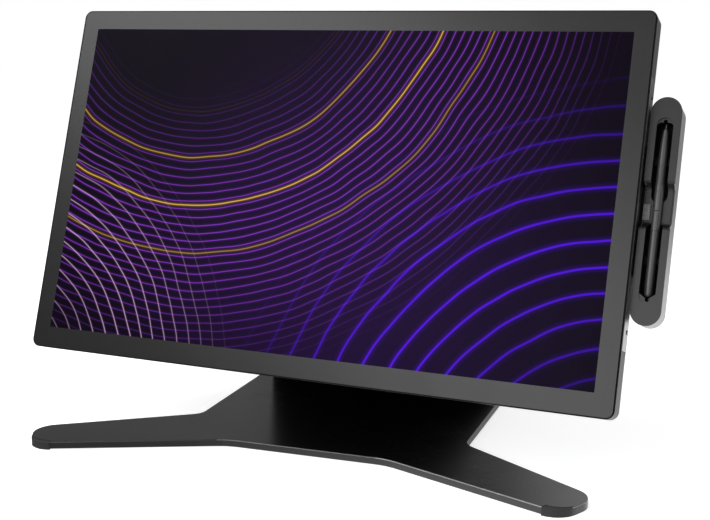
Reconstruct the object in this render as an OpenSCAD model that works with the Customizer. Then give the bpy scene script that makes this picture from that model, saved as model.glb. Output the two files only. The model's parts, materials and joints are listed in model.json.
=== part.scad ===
// Pen display on a swivelling and tilting stand, with a pen tray on its right side.
// Millimetres. +X is the user's right, +Y is away from the user, +Z is up.
// The origin is on the table, on the swivel axis.

/* [Screen] */
// Width of the lit screen
active_w = 596; // [500:1:700]
// Height of the lit screen
active_h = 335.5; // [300:0.5:400]
// Height of the lit screen's centre above the glass's centre
active_lift = 0.75; // [-1:0.25:1]
// Glass border left and right of the lit screen
bezel_side = 18.5; // [18:0.5:40]
// Glass border above and below the lit screen
bezel_end = 20.75; // [20:0.25:40]
// Thickness of the cover glass
glass_t = 1.8; // [1.2:0.1:2.4]

/* [Case] */
// Width of the case rim beside the glass
rim_side = 1.5; // [1.2:0.1:4]
// Width of the case rim above and below the glass
rim_end = 1; // [1:0.1:3]
// Corner radius of the case
case_r = 8.5; // [6:0.5:12]
// Depth of the case from glass to back
case_depth = 31; // [30:0.5:38]
// Depth of the case's edge, in front of its set-in back
edge_depth = 21.5; // [20:0.5:24]
// How far the case's back is set in from the edge
back_step = 2.2; // [1:0.1:3]
// Thickness of the case walls
case_wall = 2.4; // [2:0.1:3]
// Depth of the rear cover's side wall
cover_depth = 5; // [4:0.5:7]
// Length of the metal side rails
rail_len = 254; // [240:1:290]
// Thickness of the metal side rails
rail_t = 3; // [2.5:0.1:4]
// Distance between a rail's two accessory holes
rail_hole_span = 218; // [200:1:230]
// Radius of a rail's accessory holes
rail_hole_r = 1.65; // [1.2:0.05:2.1]

/* [Rear] */
// Spacing of the square screw pattern on the back
mount_span = 100; // [75:1:110]
// Width of a rear key
key_w = 22; // [16:1:24]
// Height of a rear key
key_h = 14; // [10:1:18]
// Distance between rear keys
key_pitch = 30; // [25:1:34]
// How far a rear key stands out of the cover
key_proud = 1.2; // [0.8:0.1:2]
// Radius of the power button
power_r = 5; // [4:0.5:8]
// Number of vent slots in each bank
vent_count = 18; // [6:1:24]

/* [Tray] */
// Length of the tray's face
tray_len = 212; // [204:1:216]
// Radius of the tray's round ends
tray_r = 14; // [13.5:0.25:16]
// Height of the tray's centre above the glass's centre
tray_v = 4; // [-8:1:8]
// How far the tray's face lies behind the glass
tray_set_back = 9.5; // [6:0.5:11]
// How far the tray's back stands out behind the case
tray_out_back = 7; // [0:0.5:9]
// Width of the pen slot
slot_w = 15; // [14:0.5:16]
// Depth of the pen slot below the tray's face
slot_depth = 14.5; // [13:0.5:15]
// Height of the finger scoop's middle above the tray's middle
scoop_v = 5; // [0:1:10]
// Length of the finger scoop's floor
scoop_floor = 29; // [26:1:36]
// Length of the scoop's slope at each end
scoop_slope = 9; // [6:1:14]
// Depth of the finger scoop
scoop_depth = 9; // [7:0.5:10]
// Length of the ribbed latch slider
latch_len = 15; // [12:0.5:17]

/* [Pen] */
// Length of the pen
pen_len = 161; // [150:1:162]
// Radius of the pen's barrel
pen_r = 4.2; // [3.8:0.1:4.6]
// Length of each pen switch
switch_len = 18; // [12:0.5:19]

/* [Stand] */
// Lean of the screen away from upright
panel_tilt = 19.3; // [18:0.1:30]
// Turn of the screen on the stand, right side towards the user
panel_swivel = 4.24; // [-20:0.01:20]
// Height of the tilt axle above the table
axle_z = 211.5; // [205:0.5:240]
// Distance of the tilt axle behind the glass
axle_back = 66; // [64:0.5:76]
// Distance of the tilt axle below the glass's centre
axle_drop = 30; // [20:1:36]
// Radius of the tilt axle
axle_r = 8; // [6:0.25:9]
// Thickness of the stand plate
plate_t = 7.2; // [5:0.1:10]
// Height of the stand plate above the table
foot_gap = 0.8; // [0.6:0.1:2]
// Half width of the plate's hub
hub_half_w = 149; // [148:1:170]
// Front edge of the plate in front of the swivel axis
plate_front = 106; // [80:1:130]
// Rear edge of the plate behind the swivel axis
plate_rear = 224; // [222:1:250]
// Half width of the straight part of the front edge
bend_x = 85.5; // [60:0.5:100]
// Place of the notch between leg and hub, in front of the axis
notch_front = 37.5; // [20:0.5:60]
// Forward run of the leg's front edge for each unit of width
leg_front_slope = 0.407; // [0.3:0.001:0.5]
// Forward run of the leg's back edge for each unit of width
leg_back_slope = 0.662; // [0.55:0.001:0.7]
// Half width over the leg tips at the front edge
tip_front_x = 272.5; // [262:0.5:290]
// Radius of the leg tips' corners
tip_r = 24; // [14:1:24]
// Half width at the foot's inner seam
foot_seam_x = 253.2; // [240:0.2:256]
// Length of the foot along the leg's edge
foot_len = 21.4; // [14:0.2:24]

/* [Riser] */
// Front of the riser's foot behind the swivel axis
riser_front = 150; // [140:1:160]
// Depth of the riser's foot
riser_depth = 50; // [48:1:56]
// Half width of the riser's foot
riser_half_w = 145; // [130:1:147]
// Narrowing of the riser's half width for each unit of height
riser_taper = 0.32; // [0.2:0.01:0.36]
// Wall thickness of the riser
riser_wall = 4; // [3:0.5:5]
// Height of the bearing head
head_h = 34; // [32:1:40]
// Height of the tilt axle above the yoke's underside
yoke_drop = 50; // [48:1:56]
// Radius of the swivel post
post_r = 16; // [12:0.5:17]

/* [Hidden] */
$fn = 64;

// Clearances
part_gap = 0.3;
fit_gap = 0.05;
slide_gap = 0.15;
over = 1;
patch_lap = 1.02;
// How far a rounding arc passes the line that it meets, so that the two cross in one point
arc_bite = 0.003;
// Spare depth of a screw hole beyond its screw
hole_spare = 1;

// Case sizes
glass_w = active_w + 2 * bezel_side;
glass_h = active_h + 2 * bezel_end;
glass_gap = 0.4;
case_w = glass_w + 2 * rim_side;
case_h = glass_h + 2 * rim_end;
glass_r_step = 1.5;
glass_r = case_r - glass_r_step;
rim_drop = 0.25;
gasket_t = 0.6;
gasket_inset = 2;
gasket_r_step = 1;
gasket_r = glass_r - gasket_r_step;
shelf_w0 = glass_t + gasket_t;
shelf_t = 3.6;
shelf_w1 = shelf_w0 + shelf_t;
lcd_margin = 4;
lcd_w = active_w + 2 * lcd_margin;
lcd_h = active_h + 2 * lcd_margin;
lcd_t = 2;
light_margin = 1;
light_room = 0.5;
light_t = 5;
shelf_margin = 2;
opening_w = lcd_w + 2 * shelf_margin;
opening_h = lcd_h + 2 * shelf_margin;
tray_lap = 1.5;
light_w1 = glass_t + lcd_t + light_t;
light_floor_t = 1.2;
sensor_t = 0.8;
sensor_w0 = light_w1 + light_floor_t;
chassis_w0 = sensor_w0 + sensor_t;
chassis_t = 1.5;
chassis_w1 = chassis_w0 + chassis_t;
chassis_side_room = 8;
chassis_end_room = 3;
chassis_w = active_w - 2 * chassis_side_room;
chassis_h = active_h - 2 * chassis_end_room;
skin_t = 2.5;
skin_w0 = case_depth - skin_t;
seam_w = case_depth - cover_depth;

// Screw posts of the case
post_edge = 0.1;
corner_post_drop = 34;
post_row_u = 180;
screw_post_r = 3.8;
screw_post_u = case_w / 2 - back_step - case_wall - screw_post_r - post_edge;
screw_post_v = case_h / 2 - back_step - case_wall - screw_post_r - post_edge;
screw_posts = concat(
    [for (su = [-1, 1], sv = [-1, 1]) [su * screw_post_u, sv * (case_h / 2 - corner_post_drop)]],
    [for (su = [-1, 0, 1], sv = [-1, 1]) [su * post_row_u, sv * screw_post_v]]);
screw_r = 1.4;
screw_head_r = 2.9;
screw_head_t = 1.2;
screw_grip = 10;
screw_end_gap = 0.5;

// Side rails
rail_w0 = 3;
rail_rear_gap = 1.25;
rail_w1 = edge_depth - rail_rear_gap;
rail_backing = 5;
rail_backing_end = 4;
rail_end_gap = 0.25;
rail_hole_in = 13;
rail_hole_w = rail_w0 + rail_hole_in;
hole_recess_edge = 0.3;
hole_recess_r = rail_hole_r + hole_recess_edge;
hole_recess_half = 2;
hole_recess_t = 1;
stud_r = 2.5;
stud_span = 90;
stud_reach = 2.5;

// Boards and rear parts
board_t = 1.6;
standoff_h = 3;
standoff_r = 3;
standoff_in = 6;
board_w0 = chassis_w1 + standoff_h;
board_w1 = board_w0 + board_t;
board_w = 200;
main_board_h = 90;
driver_board_h = 80;
main_board_lift = 52;
main_board_v = -active_h / 2 + main_board_lift;
driver_board_drop = 57;
driver_board_v = active_h / 2 - driver_board_drop;
port_drop = 25;
port_v = main_board_v - port_drop;
port_w = 68;
port_h = 10;
port_sink = 0.5;
socket_w = 9;
socket_h = 3.3;
socket_depth = 7;
socket_pitch = 16;
socket_count = 4;
spreader_w = 80;
spreader_h = 40;
spreader_t = 8;
spreader_drop = 4;
keys_a_side = 4;
key_inset = 14;
key_u = active_w / 2 - key_inset;
key_r = 3;
key_flange = 1.2;
key_flange_t = 1.4;
key_flange_gap = 0.1;
key_travel = 1;
key_board_w = 20;
key_spare = 0.5;
key_board_w1 = skin_w0 - key_flange_t - key_travel - key_spare;
key_board_end = 13;
key_board_h = (keys_a_side - 1) * key_pitch + 2 * key_board_end;
key_standoff_in = 5;
power_inset_u = 50;
power_inset_v = 20;
power_u = active_w / 2 - power_inset_u;
power_v = active_h / 2 - power_inset_v;
vent_pitch = 7;
vent_w = 2.4;
vent_h = 26;
vent_drop = 72;
vent_v = active_h / 2 - vent_drop;
vent_inset = 127;
vent_u = active_w / 2 - vent_inset;
boss_r = 7;
mount_screw_r = 1.65;
mount_hole_gap = 0.5;
mount_hole_r = mount_screw_r + mount_hole_gap;
mount_screw_grip = 8;
mount_plate_t = 5;
mount_plate_edge = 12;
mount_plate_side = mount_span + 2 * mount_plate_edge;
mount_plate_r = 10;
mount_head_r = 4;
mount_head_t = 2.6;

// Tray sizes, with the tray's own middle as origin
tray_gap = 1.5;
tray_u = case_w / 2 + tray_gap + tray_r;
tray_face_t = 2;
tray_lip = 0.4;
tray_body_r = tray_r - tray_lip;
tray_body_wall = 1.4;
insert_gap = 0.1;
insert_r = tray_body_r - tray_body_wall - insert_gap;
tray_w0 = tray_set_back;
tray_w1 = tray_w0 + tray_face_t;
tray_back = case_depth + tray_out_back;
tray_floor_t = 1.7;
tray_floor_w = tray_back - tray_floor_t;
slot_spare = 4.2;
slot_len = pen_len + slot_spare;
slot_v = 0.5;
slot_point = 5.6;
slot_corner_r = 4;
slot_notch_out = 1;
slot_notch_r = 1.8;
recess_t = 1.2;
recess_end = 3.5;
slot_floor_w = tray_w0 + slot_depth;
scoop_w = tray_w0 + scoop_depth;
bracket_cover = 1.5;
bracket_w0 = tray_w1 + bracket_cover;
bracket_rear = 0.75;
bracket_w1 = rail_w1 - bracket_rear;
hook_len = 30;
strip_w0 = scoop_w + bracket_cover;
strip_len = 120;
latch_t = 1.6;
latch_side = 0.5;
latch_u0 = tray_u - tray_body_r + latch_side;
latch_pen_gap = 2.2;
latch_u1 = tray_u - pen_r - latch_pen_gap;
latch_end = 1;
latch_v = scoop_v - scoop_floor / 2 + latch_len / 2 + latch_end;
latch_travel = 6;
latch_ribs = 9;
rib_h = 0.6;
saddle_end = 1.65;
saddle_half = latch_len / 2 + saddle_end;
tongue_w = 1.5;
tongue_h = 3;
tongue_len = 5.5;
tongue_play = 0.5;
tongue_in = 1.8;
tongue_u = tray_u - slot_w / 2 - tongue_in;
tongue_v = latch_v - (latch_len - tongue_len) / 2 + 2 * tongue_play;
cradle_len = 8;
cradle_gap = 0.3;
cradle_from_middle = 46;
cradle_side = 0.2;
cradle_drop = 8;
cradle_w0 = tray_w0 + cradle_drop;

// Pen sizes, along the pen from its tail
pen_drop = 7;
pen_w = tray_w0 + pen_drop;
pen_v = 1.75;
pen_tail_v = tray_v + pen_v - pen_len / 2;
tail_len = 10;
tail_step = 0.5;
tail_end_step = 1.4;
tail_edge = 2;
tail_r = pen_r - tail_step;
tail_end_r = pen_r - tail_end_step;
nib_len = 5;
nib_r = 0.75;
nib_hole = 4;
nib_end_gap = 0.2;
nose_len = 33;
nose_r = 1.3;
nose_steps = 6;
grip_len = 20;
grip_t = 0.15;
barrel_len = pen_len - tail_len - grip_len - nose_len - nib_len;
switch_w = 4;
switch_gap = 0.4;
switch_front = 6;
switch_from = barrel_len + tail_len - switch_front - 2 * switch_len - switch_gap;
switch_proud = 0.3;
switch_depth = 2.6;
switch_floor = pen_r - switch_depth;
switch_under = 0.2;
switch_travel = 0.4;

// Stand sizes
plate_z = foot_gap + plate_t;
hub_r = 24;
notch_r = 18;
bend_r = 60;
front_y = -plate_front;
notch_y = -notch_front;
tip_run = 24;
tip_back_x = tip_front_x + tip_run;
foot_depth = 6;
foot_reach = 26;
foot_room = 4;
foot_proud = 0.8;
foot_drop = 0.3;
tip_pad_len = 70;
tip_pad_depth = 90;
pad_r = 30;
rear_foot_r = 14;
rear_foot_in = 4;

// Riser sizes
thrust_t = 2;
thrust_gap = 0.05;
head_z1 = axle_z - yoke_drop - thrust_t;
head_z0 = head_z1 - head_h;
head_front = 42;
nose_half = 30;
nose_slope = 0.45;
head_rear = 48;
riser_rear = riser_front + riser_depth;
crown_y = 74;
crown_r = 20;
riser_skin_y = 6;
riser_ledge = 10;
riser_roof = 6;
riser_lean = (riser_rear - crown_y) / (head_z1 - plate_z);
back_angle = atan2(1, riser_lean);
cover_y = 4.4;
cover_top_gap = 6;
cover_z1 = head_z1 - riser_roof - cover_top_gap;
boss_x = [-115, -45, 45, 115];
riser_boss_r = 8;
riser_boss_h = 22;
riser_boss_in = 13;
riser_boss_y = riser_front + riser_boss_in;
riser_screw_r = 2.8;
riser_head_r = 5.5;
riser_head_t = 3.5;
riser_screw_len = 16;
cover_screw_rise = 24;
cover_screw_drop = 36;
cover_screw_z = [plate_z + cover_screw_rise, head_z1 - cover_screw_drop];
cover_screw_r = 1.5;
cover_head_r = 3.4;
cover_head_t = 1.6;
cover_screw_len = 9;

// Swivel and tilt sizes
bush_wall = 4;
bush_r = post_r + fit_gap + bush_wall;
well_h = 12;
well_out = 6;
well_r = bush_r + well_out;
nut_gap = 0.2;
nut_h = 7;
nut_side = 3;
nut_r = well_r - nut_side;
cap_t = 2;
thrust_lap = 7;
thrust_r = bush_r + thrust_lap;
stop_out = 6;
stop_radius = thrust_r + stop_out;
stop_r = 2.5;
stop_half_angle = 20;
stop_depth = 6;
stop_gap = 0.3;
pin_float = 1;
pin_cover = 3;
pin_end_gap = 0.2;
yoke_w = 104;
yoke_l = 86;
yoke_t = 10;
yoke_r = 14;
cheek_t = 12;
cheek_edge = 2;
cheek_in = yoke_w / 2 - cheek_t - cheek_edge;
cheek_r = 20;
cheek_foot = 28;
spigot_r = 12;
spigot_h = 8;
disc_t = 2;
disc_r = 15;
knuckle_half = cheek_in - disc_t;
knuckle_r = 16;
web_half = 14;
axle_stub = 5;
axle_end = cheek_in + cheek_t + axle_stub;
axle_cap_r = 13;
axle_cap_t = 7;

// Height of the riser's half width and the back face's place
function riser_half(z) = riser_half_w - riser_taper * (z - plate_z);
function back_y(z) = riser_rear - riser_lean * (z - plate_z);
function unit(v) = v / norm(v);

// Outline helpers
module rounded_sheet(w, h, r) {
    square([w - 2 * r, h], center = true);
    square([w, h - 2 * r], center = true);
    for (sx = [-1, 1], sy = [-1, 1])
        translate([sx * (w / 2 - r), sy * (h / 2 - r)])
            circle(r);
}

module stadium(length, r) {
    square([2 * r, length - 2 * r], center = true);
    for (s = [-1, 1])
        translate([0, s * (length / 2 - r)])
            circle(r);
}

// The piece between a corner p and the arc of radius r that rounds it, a and b being the next corners
module corner_patch(p, a, b, r) {
    to_a = unit(a - p);
    to_b = unit(b - p);
    half = acos(to_a * to_b) / 2;
    reach = r / tan(half);
    middle = p + unit(to_a + to_b) * r / sin(half);
    difference() {
        polygon([for (q = [p, p + to_a * reach, middle, p + to_b * reach])
            middle + patch_lap * (q - middle)]);
        translate(middle)
            circle(r + arc_bite);
    }
}

// Frames: the yoke's has its origin on the axle, the panel's has it on the glass's centre
module at_yoke() {
    rotate([0, 0, -panel_swivel])
        translate([0, 0, axle_z])
            children();
}

module at_panel() {
    at_yoke()
        rotate([90 - panel_tilt, 0, 0])
            translate([0, axle_drop, axle_back])
                children();
}

// A flat shape between two depths behind the glass
module layer(w0, w1) {
    translate([0, 0, -w1])
        linear_extrude(w1 - w0)
            children();
}

// A shape drawn in (y, z), as wide as 2 * half_w about the middle plane
module side_cut(half_w) {
    translate([-half_w, 0, 0])
        rotate([90, 0, 90])
            linear_extrude(2 * half_w)
                children();
}

// A shape drawn in (x, z), between two y values
module front_cut(y0, y1) {
    translate([0, y1, 0])
        rotate([90, 0, 0])
            linear_extrude(y1 - y0)
                children();
}

// A cylinder along the panel's width
module width_rod(r, u0, u1) {
    translate([u0, 0, 0])
        rotate([0, 90, 0])
            cylinder(r = r, h = u1 - u0);
}

// Screen stack
module cover_glass() {
    color([0.2, 0.2, 0.2])
        at_panel()
            layer(0, glass_t)
                rounded_sheet(glass_w, glass_h, glass_r);
}

module glass_gasket() {
    color([0.05, 0.05, 0.05])
        at_panel()
            layer(glass_t, shelf_w0)
                difference() {
                    rounded_sheet(glass_w - 2 * gasket_inset, glass_h - 2 * gasket_inset, gasket_r);
                    translate([0, active_lift])
                        square([opening_w, opening_h], center = true);
                }
}

module lcd_cell() {
    color([0.1, 0.05, 0.15])
        at_panel()
            layer(glass_t, glass_t + lcd_t)
                translate([0, active_lift])
                    square([lcd_w, lcd_h], center = true);
}

module backlight() {
    color([0.9, 0.9, 0.92])
        at_panel()
            layer(glass_t + lcd_t, light_w1)
                translate([0, active_lift])
                    square([lcd_w + 2 * light_margin, lcd_h + 2 * light_margin], center = true);
}

module backlight_tray() {
    color([0.7, 0.7, 0.72])
        at_panel()
            translate([0, active_lift, 0])
                difference() {
                    layer(shelf_w1, sensor_w0)
                        square([opening_w + 2 * tray_lap, opening_h + 2 * tray_lap], center = true);
                    layer(shelf_w1 - over, light_w1)
                        square([lcd_w + 2 * (light_margin + light_room),
                            lcd_h + 2 * (light_margin + light_room)], center = true);
                }
}

module sensor_sheet() {
    color([0.1, 0.3, 0.2])
        at_panel()
            layer(sensor_w0, chassis_w0)
                translate([0, active_lift])
                    square([active_w, active_h], center = true);
}

// Case
// Outline of the case's set-in back, or of the room in it where wall is its thickness
module back_sheet(wall) {
    rounded_sheet(case_w - 2 * (back_step + wall), case_h - 2 * (back_step + wall), case_r - back_step - wall);
}

module rail_slot(side) {
    translate([side * (case_w / 2 - rail_t / 2 + over / 2), 0])
        square([rail_t + over, rail_len + 2 * rail_end_gap], center = true);
}

module mid_frame() {
    color([0.25, 0.25, 0.26])
        at_panel()
            difference() {
                union() {
                    difference() {
                        union() {
                            layer(rim_drop, edge_depth)
                                rounded_sheet(case_w, case_h, case_r);
                            layer(edge_depth, seam_w)
                                back_sheet(0);
                        }
                        layer(shelf_w1, edge_depth - case_wall)
                            rounded_sheet(case_w - 2 * case_wall, case_h - 2 * case_wall, case_r - case_wall);
                        layer(edge_depth - case_wall - over, seam_w + over)
                            back_sheet(case_wall);
                    }
                    for (side = [-1, 1])
                        layer(shelf_w0, edge_depth)
                            translate([side * (case_w / 2 - (rail_t + rail_backing) / 2), 0])
                                square([rail_t + rail_backing, rail_len + 2 * rail_backing_end],
                                    center = true);
                    for (p = screw_posts)
                        layer(shelf_w0, skin_w0)
                            translate(p)
                                circle(screw_post_r);
                }
                layer(-over, shelf_w0)
                    rounded_sheet(glass_w + 2 * glass_gap, glass_h + 2 * glass_gap, glass_r + glass_gap);
                layer(0, shelf_w1 + over)
                    translate([0, active_lift])
                        square([opening_w, opening_h], center = true);
                for (side = [-1, 1])
                    layer(rail_w0, rail_w1 + rail_end_gap)
                        rail_slot(side);
                for (p = screw_posts)
                    layer(skin_w0 - screw_grip, skin_w0 + over)
                        translate(p)
                            circle(screw_r + fit_gap);
            }
}

// An oblong recess in a rail's outer face, round one of its holes
module hole_recess(side) {
    face = side * case_w / 2;
    low = min(face - side * hole_recess_t, face + side * over);
    for (end = [-1, 1])
        translate([0, 0, end * hole_recess_half])
            width_rod(hole_recess_r, low, low + hole_recess_t + over);
    translate([low, -hole_recess_r, -hole_recess_half])
        cube([hole_recess_t + over, 2 * hole_recess_r, 2 * hole_recess_half]);
}

module rail_solid(side) {
    difference() {
        layer(rail_w0, rail_w1)
            translate([side * (case_w / 2 - rail_t / 2), 0])
                square([rail_t, rail_len], center = true);
        for (sv = [-1, 1])
            translate([0, sv * rail_hole_span / 2, -rail_hole_w]) {
                width_rod(rail_hole_r, side * case_w / 2 - rail_t - over, side * case_w / 2 + rail_t + over);
                hole_recess(side);
            }
    }
}

module side_rail_left() {
    color([0.6, 0.6, 0.62])
        at_panel()
            rail_solid(-1);
}

module side_rail_right() {
    color([0.6, 0.6, 0.62])
        at_panel()
            difference() {
                rail_solid(1);
                for (s = [-1, 1])
                    translate([0, tray_v + s * stud_span / 2, -(bracket_w0 + bracket_w1) / 2])
                        width_rod(stud_r + fit_gap, case_w / 2 - rail_t - over, case_w / 2 + over);
            }
}

module rear_cover() {
    color([0.15, 0.15, 0.16])
        at_panel()
            difference() {
                layer(seam_w, case_depth)
                    back_sheet(0);
                layer(seam_w - over, skin_w0)
                    back_sheet(case_wall);
                for (p = screw_posts) {
                    layer(skin_w0 - over, case_depth + over)
                        translate(p)
                            circle(screw_r + slide_gap);
                    layer(case_depth - screw_head_t, case_depth + over)
                        translate(p)
                            circle(screw_head_r + slide_gap);
                }
                for (side = [-1, 1], i = [0 : keys_a_side - 1])
                    layer(skin_w0 - over, case_depth + over)
                        translate([side * key_u, key_row(i)])
                            rounded_sheet(key_w + 2 * part_gap, key_h + 2 * part_gap, key_r + part_gap);
                layer(skin_w0 - over, case_depth + over)
                    translate([power_u, power_v])
                        circle(power_r + part_gap);
                layer(skin_w0 - over, case_depth + over)
                    translate([0, port_v])
                        square([port_w + 2 * part_gap, port_h + 2 * part_gap], center = true);
                for (su = [-1, 1], sv = [-1, 1])
                    layer(skin_w0 - over, case_depth + over)
                        translate([su * mount_span / 2, sv * mount_span / 2])
                            circle(mount_hole_r);
                for (su = [-1, 1], i = [0 : vent_count - 1])
                    layer(skin_w0 - over, case_depth + over)
                        translate([su * vent_u + (i - (vent_count - 1) / 2) * vent_pitch, vent_v])
                            square([vent_w, vent_h], center = true);
            }
}

module case_screws() {
    color([0.1, 0.1, 0.1])
        at_panel()
            for (p = screw_posts)
                translate(p) {
                    layer(skin_w0 - screw_grip + screw_end_gap, case_depth - screw_head_t)
                        circle(screw_r);
                    layer(case_depth - screw_head_t, case_depth)
                        circle(screw_head_r);
                }
}

// Boards
module chassis_plate() {
    color([0.65, 0.65, 0.67])
        at_panel()
            difference() {
                union() {
                    layer(chassis_w0, chassis_w1)
                        square([chassis_w, chassis_h], center = true);
                    for (su = [-1, 1], sv = [-1, 1]) {
                        layer(chassis_w0, skin_w0)
                            translate([su * mount_span / 2, sv * mount_span / 2])
                                circle(boss_r);
                        layer(chassis_w0, board_w0)
                            translate([su * (board_w / 2 - standoff_in),
                                main_board_v + sv * (main_board_h / 2 - standoff_in)])
                                circle(standoff_r);
                        layer(chassis_w0, board_w0)
                            translate([su * (board_w / 2 - standoff_in),
                                driver_board_v + sv * (driver_board_h / 2 - standoff_in)])
                                circle(standoff_r);
                        layer(chassis_w0, key_board_w1 - board_t)
                            translate([su * (key_u - key_standoff_in), sv * (key_board_h / 2 - standoff_in)])
                                circle(standoff_r);
                    }
                }
                for (su = [-1, 1], sv = [-1, 1])
                    layer(skin_w0 - mount_screw_grip - hole_spare, skin_w0 + over)
                        translate([su * mount_span / 2, sv * mount_span / 2])
                            circle(mount_screw_r + fit_gap);
            }
}

module main_board() {
    color([0.05, 0.3, 0.15])
        at_panel()
            layer(board_w0, board_w1)
                translate([0, main_board_v])
                    square([board_w, main_board_h], center = true);
}

module driver_board() {
    color([0.05, 0.3, 0.15])
        at_panel()
            layer(board_w0, board_w1)
                translate([0, driver_board_v])
                    square([board_w, driver_board_h], center = true);
}

module key_boards() {
    color([0.05, 0.3, 0.15])
        at_panel()
            for (su = [-1, 1])
                layer(key_board_w1 - board_t, key_board_w1)
                    translate([su * key_u, 0])
                        square([key_board_w, key_board_h], center = true);
}

module port_block() {
    color([0.1, 0.1, 0.1])
        at_panel()
            difference() {
                layer(board_w1, case_depth - port_sink)
                    translate([0, port_v])
                        square([port_w, port_h], center = true);
                for (i = [0 : socket_count - 1])
                    layer(case_depth - port_sink - socket_depth, case_depth + over)
                        translate([(i - (socket_count - 1) / 2) * socket_pitch, port_v])
                            rotate(90)
                                stadium(socket_w, socket_h / 2);
            }
}

module heat_spreader() {
    color([0.75, 0.75, 0.77])
        at_panel()
            layer(board_w1, board_w1 + spreader_t)
                translate([0, main_board_v + main_board_h / 2 - spreader_h / 2 - spreader_drop])
                    square([spreader_w, spreader_h], center = true);
}

// Rear keys, counted from the top
function key_row(i) = ((keys_a_side - 1) / 2 - i) * key_pitch;

module key_solid(side, i) {
    at_panel()
        translate([side * key_u, key_row(i), 0]) {
            layer(skin_w0 - key_flange_t - key_flange_gap, skin_w0 - key_flange_gap)
                rounded_sheet(key_w + 2 * key_flange, key_h + 2 * key_flange, key_r);
            layer(skin_w0 - key_flange_gap, case_depth + key_proud)
                rounded_sheet(key_w, key_h, key_r);
        }
}

module rear_key_left_1() { color([0.2, 0.2, 0.2]) key_solid(-1, 0); }
module rear_key_left_2() { color([0.2, 0.2, 0.2]) key_solid(-1, 1); }
module rear_key_left_3() { color([0.2, 0.2, 0.2]) key_solid(-1, 2); }
module rear_key_left_4() { color([0.2, 0.2, 0.2]) key_solid(-1, 3); }
module rear_key_right_1() { color([0.2, 0.2, 0.2]) key_solid(1, 0); }
module rear_key_right_2() { color([0.2, 0.2, 0.2]) key_solid(1, 1); }
module rear_key_right_3() { color([0.2, 0.2, 0.2]) key_solid(1, 2); }
module rear_key_right_4() { color([0.2, 0.2, 0.2]) key_solid(1, 3); }

module power_button() {
    color([0.2, 0.2, 0.2])
        at_panel()
            translate([power_u, power_v, 0]) {
                layer(skin_w0 - key_flange_t - key_flange_gap, skin_w0 - key_flange_gap)
                    circle(power_r + key_flange);
                layer(skin_w0 - key_flange_gap, case_depth + key_proud)
                    circle(power_r);
            }
}

// Pen tray
module at_tray() {
    at_panel()
        translate([tray_u, tray_v, 0])
            children();
}

// The finger scoop's side view: a flat floor with a smooth slope at each end
module scoop_cut() {
    steps = 8;
    slope = [for (i = [0 : steps]) [scoop_slope * i / steps, scoop_depth * (1 - cos(180 * i / steps)) / 2]];
    low = scoop_v - scoop_floor / 2 - scoop_slope;
    high = scoop_v + scoop_floor / 2 + scoop_slope;
    rise = [for (p = slope) [low + p[0], -tray_w0 - p[1]]];
    fall = [for (i = [steps : -1 : 0]) [high - slope[i][0], -tray_w0 - slope[i][1]]];
    side_cut(tray_r + over)
        polygon(concat([[low, -tray_w0 + over]], rise, fall, [[high, -tray_w0 + over]]));
}

module tray_body() {
    color([0.6, 0.6, 0.62])
        at_tray()
            difference() {
                layer(tray_w1, tray_back)
                    stadium(tray_len - 2 * tray_lip, tray_body_r);
                layer(tray_w1 - over, tray_floor_w)
                    stadium(tray_len - 2 * (tray_r - insert_r - insert_gap), insert_r + insert_gap);
                scoop_cut();
                for (s = [-1, 1])
                    translate([0, s * stud_span / 2, -(bracket_w0 + bracket_w1) / 2])
                        width_rod(stud_r + fit_gap, -tray_r, -insert_r);
            }
}

// One pocket of the pen slot, from the saddle to its end; the nib's pocket has end 1 and round corners,
// the tail's has end -1 and is pointed
module slot_pocket(end) {
    half_w = slot_w / 2;
    inner = latch_v + end * (saddle_half + half_w);
    tip = slot_v + end * slot_len / 2;
    shoulder = tip - end * (end > 0 ? slot_corner_r + slot_notch_out : slot_point);
    polygon([[-half_w, inner], [half_w, inner], [half_w, shoulder], [-half_w, shoulder]]);
    translate([0, inner])
        circle(half_w);
    translate([0, tip])
        circle(slot_notch_r);
    if (end < 0)
        polygon([[half_w, shoulder + over], [half_w, shoulder], [0, tip], [-half_w, shoulder],
            [-half_w, shoulder + over]]);
    if (end > 0) {
        straight = half_w - slot_corner_r;
        for (side = [-1, 1])
            translate([side * straight, shoulder])
                circle(slot_corner_r);
        translate([-straight, shoulder - over])
            square([2 * straight, slot_corner_r + over]);
    }
}

module tray_insert() {
    color([0.2, 0.2, 0.2])
        at_tray()
            difference() {
                union() {
                    layer(tray_w0, tray_w1)
                        stadium(tray_len, tray_r);
                    layer(tray_w1, tray_floor_w)
                        stadium(tray_len - 2 * (tray_r - insert_r), insert_r);
                }
                layer(tray_w0 - over, slot_floor_w)
                    for (end = [-1, 1])
                        slot_pocket(end);
                layer(tray_w0 - over, tray_w0 + recess_t)
                    translate([0, slot_v])
                        stadium(slot_len + 2 * recess_end, slot_w / 2);
                translate([0, latch_v, -pen_w])
                    rotate([90, 0, 0])
                        cylinder(r = pen_r + cradle_gap, h = 2 * saddle_half + slot_w, center = true);
                scoop_cut();
                layer(scoop_w - over, scoop_w + tongue_h + slide_gap)
                    translate([tongue_u - tray_u, tongue_v + latch_travel / 2])
                        square([tongue_w + 2 * slide_gap, tongue_len + latch_travel + 2 * tongue_play],
                            center = true);
            }
}

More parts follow.
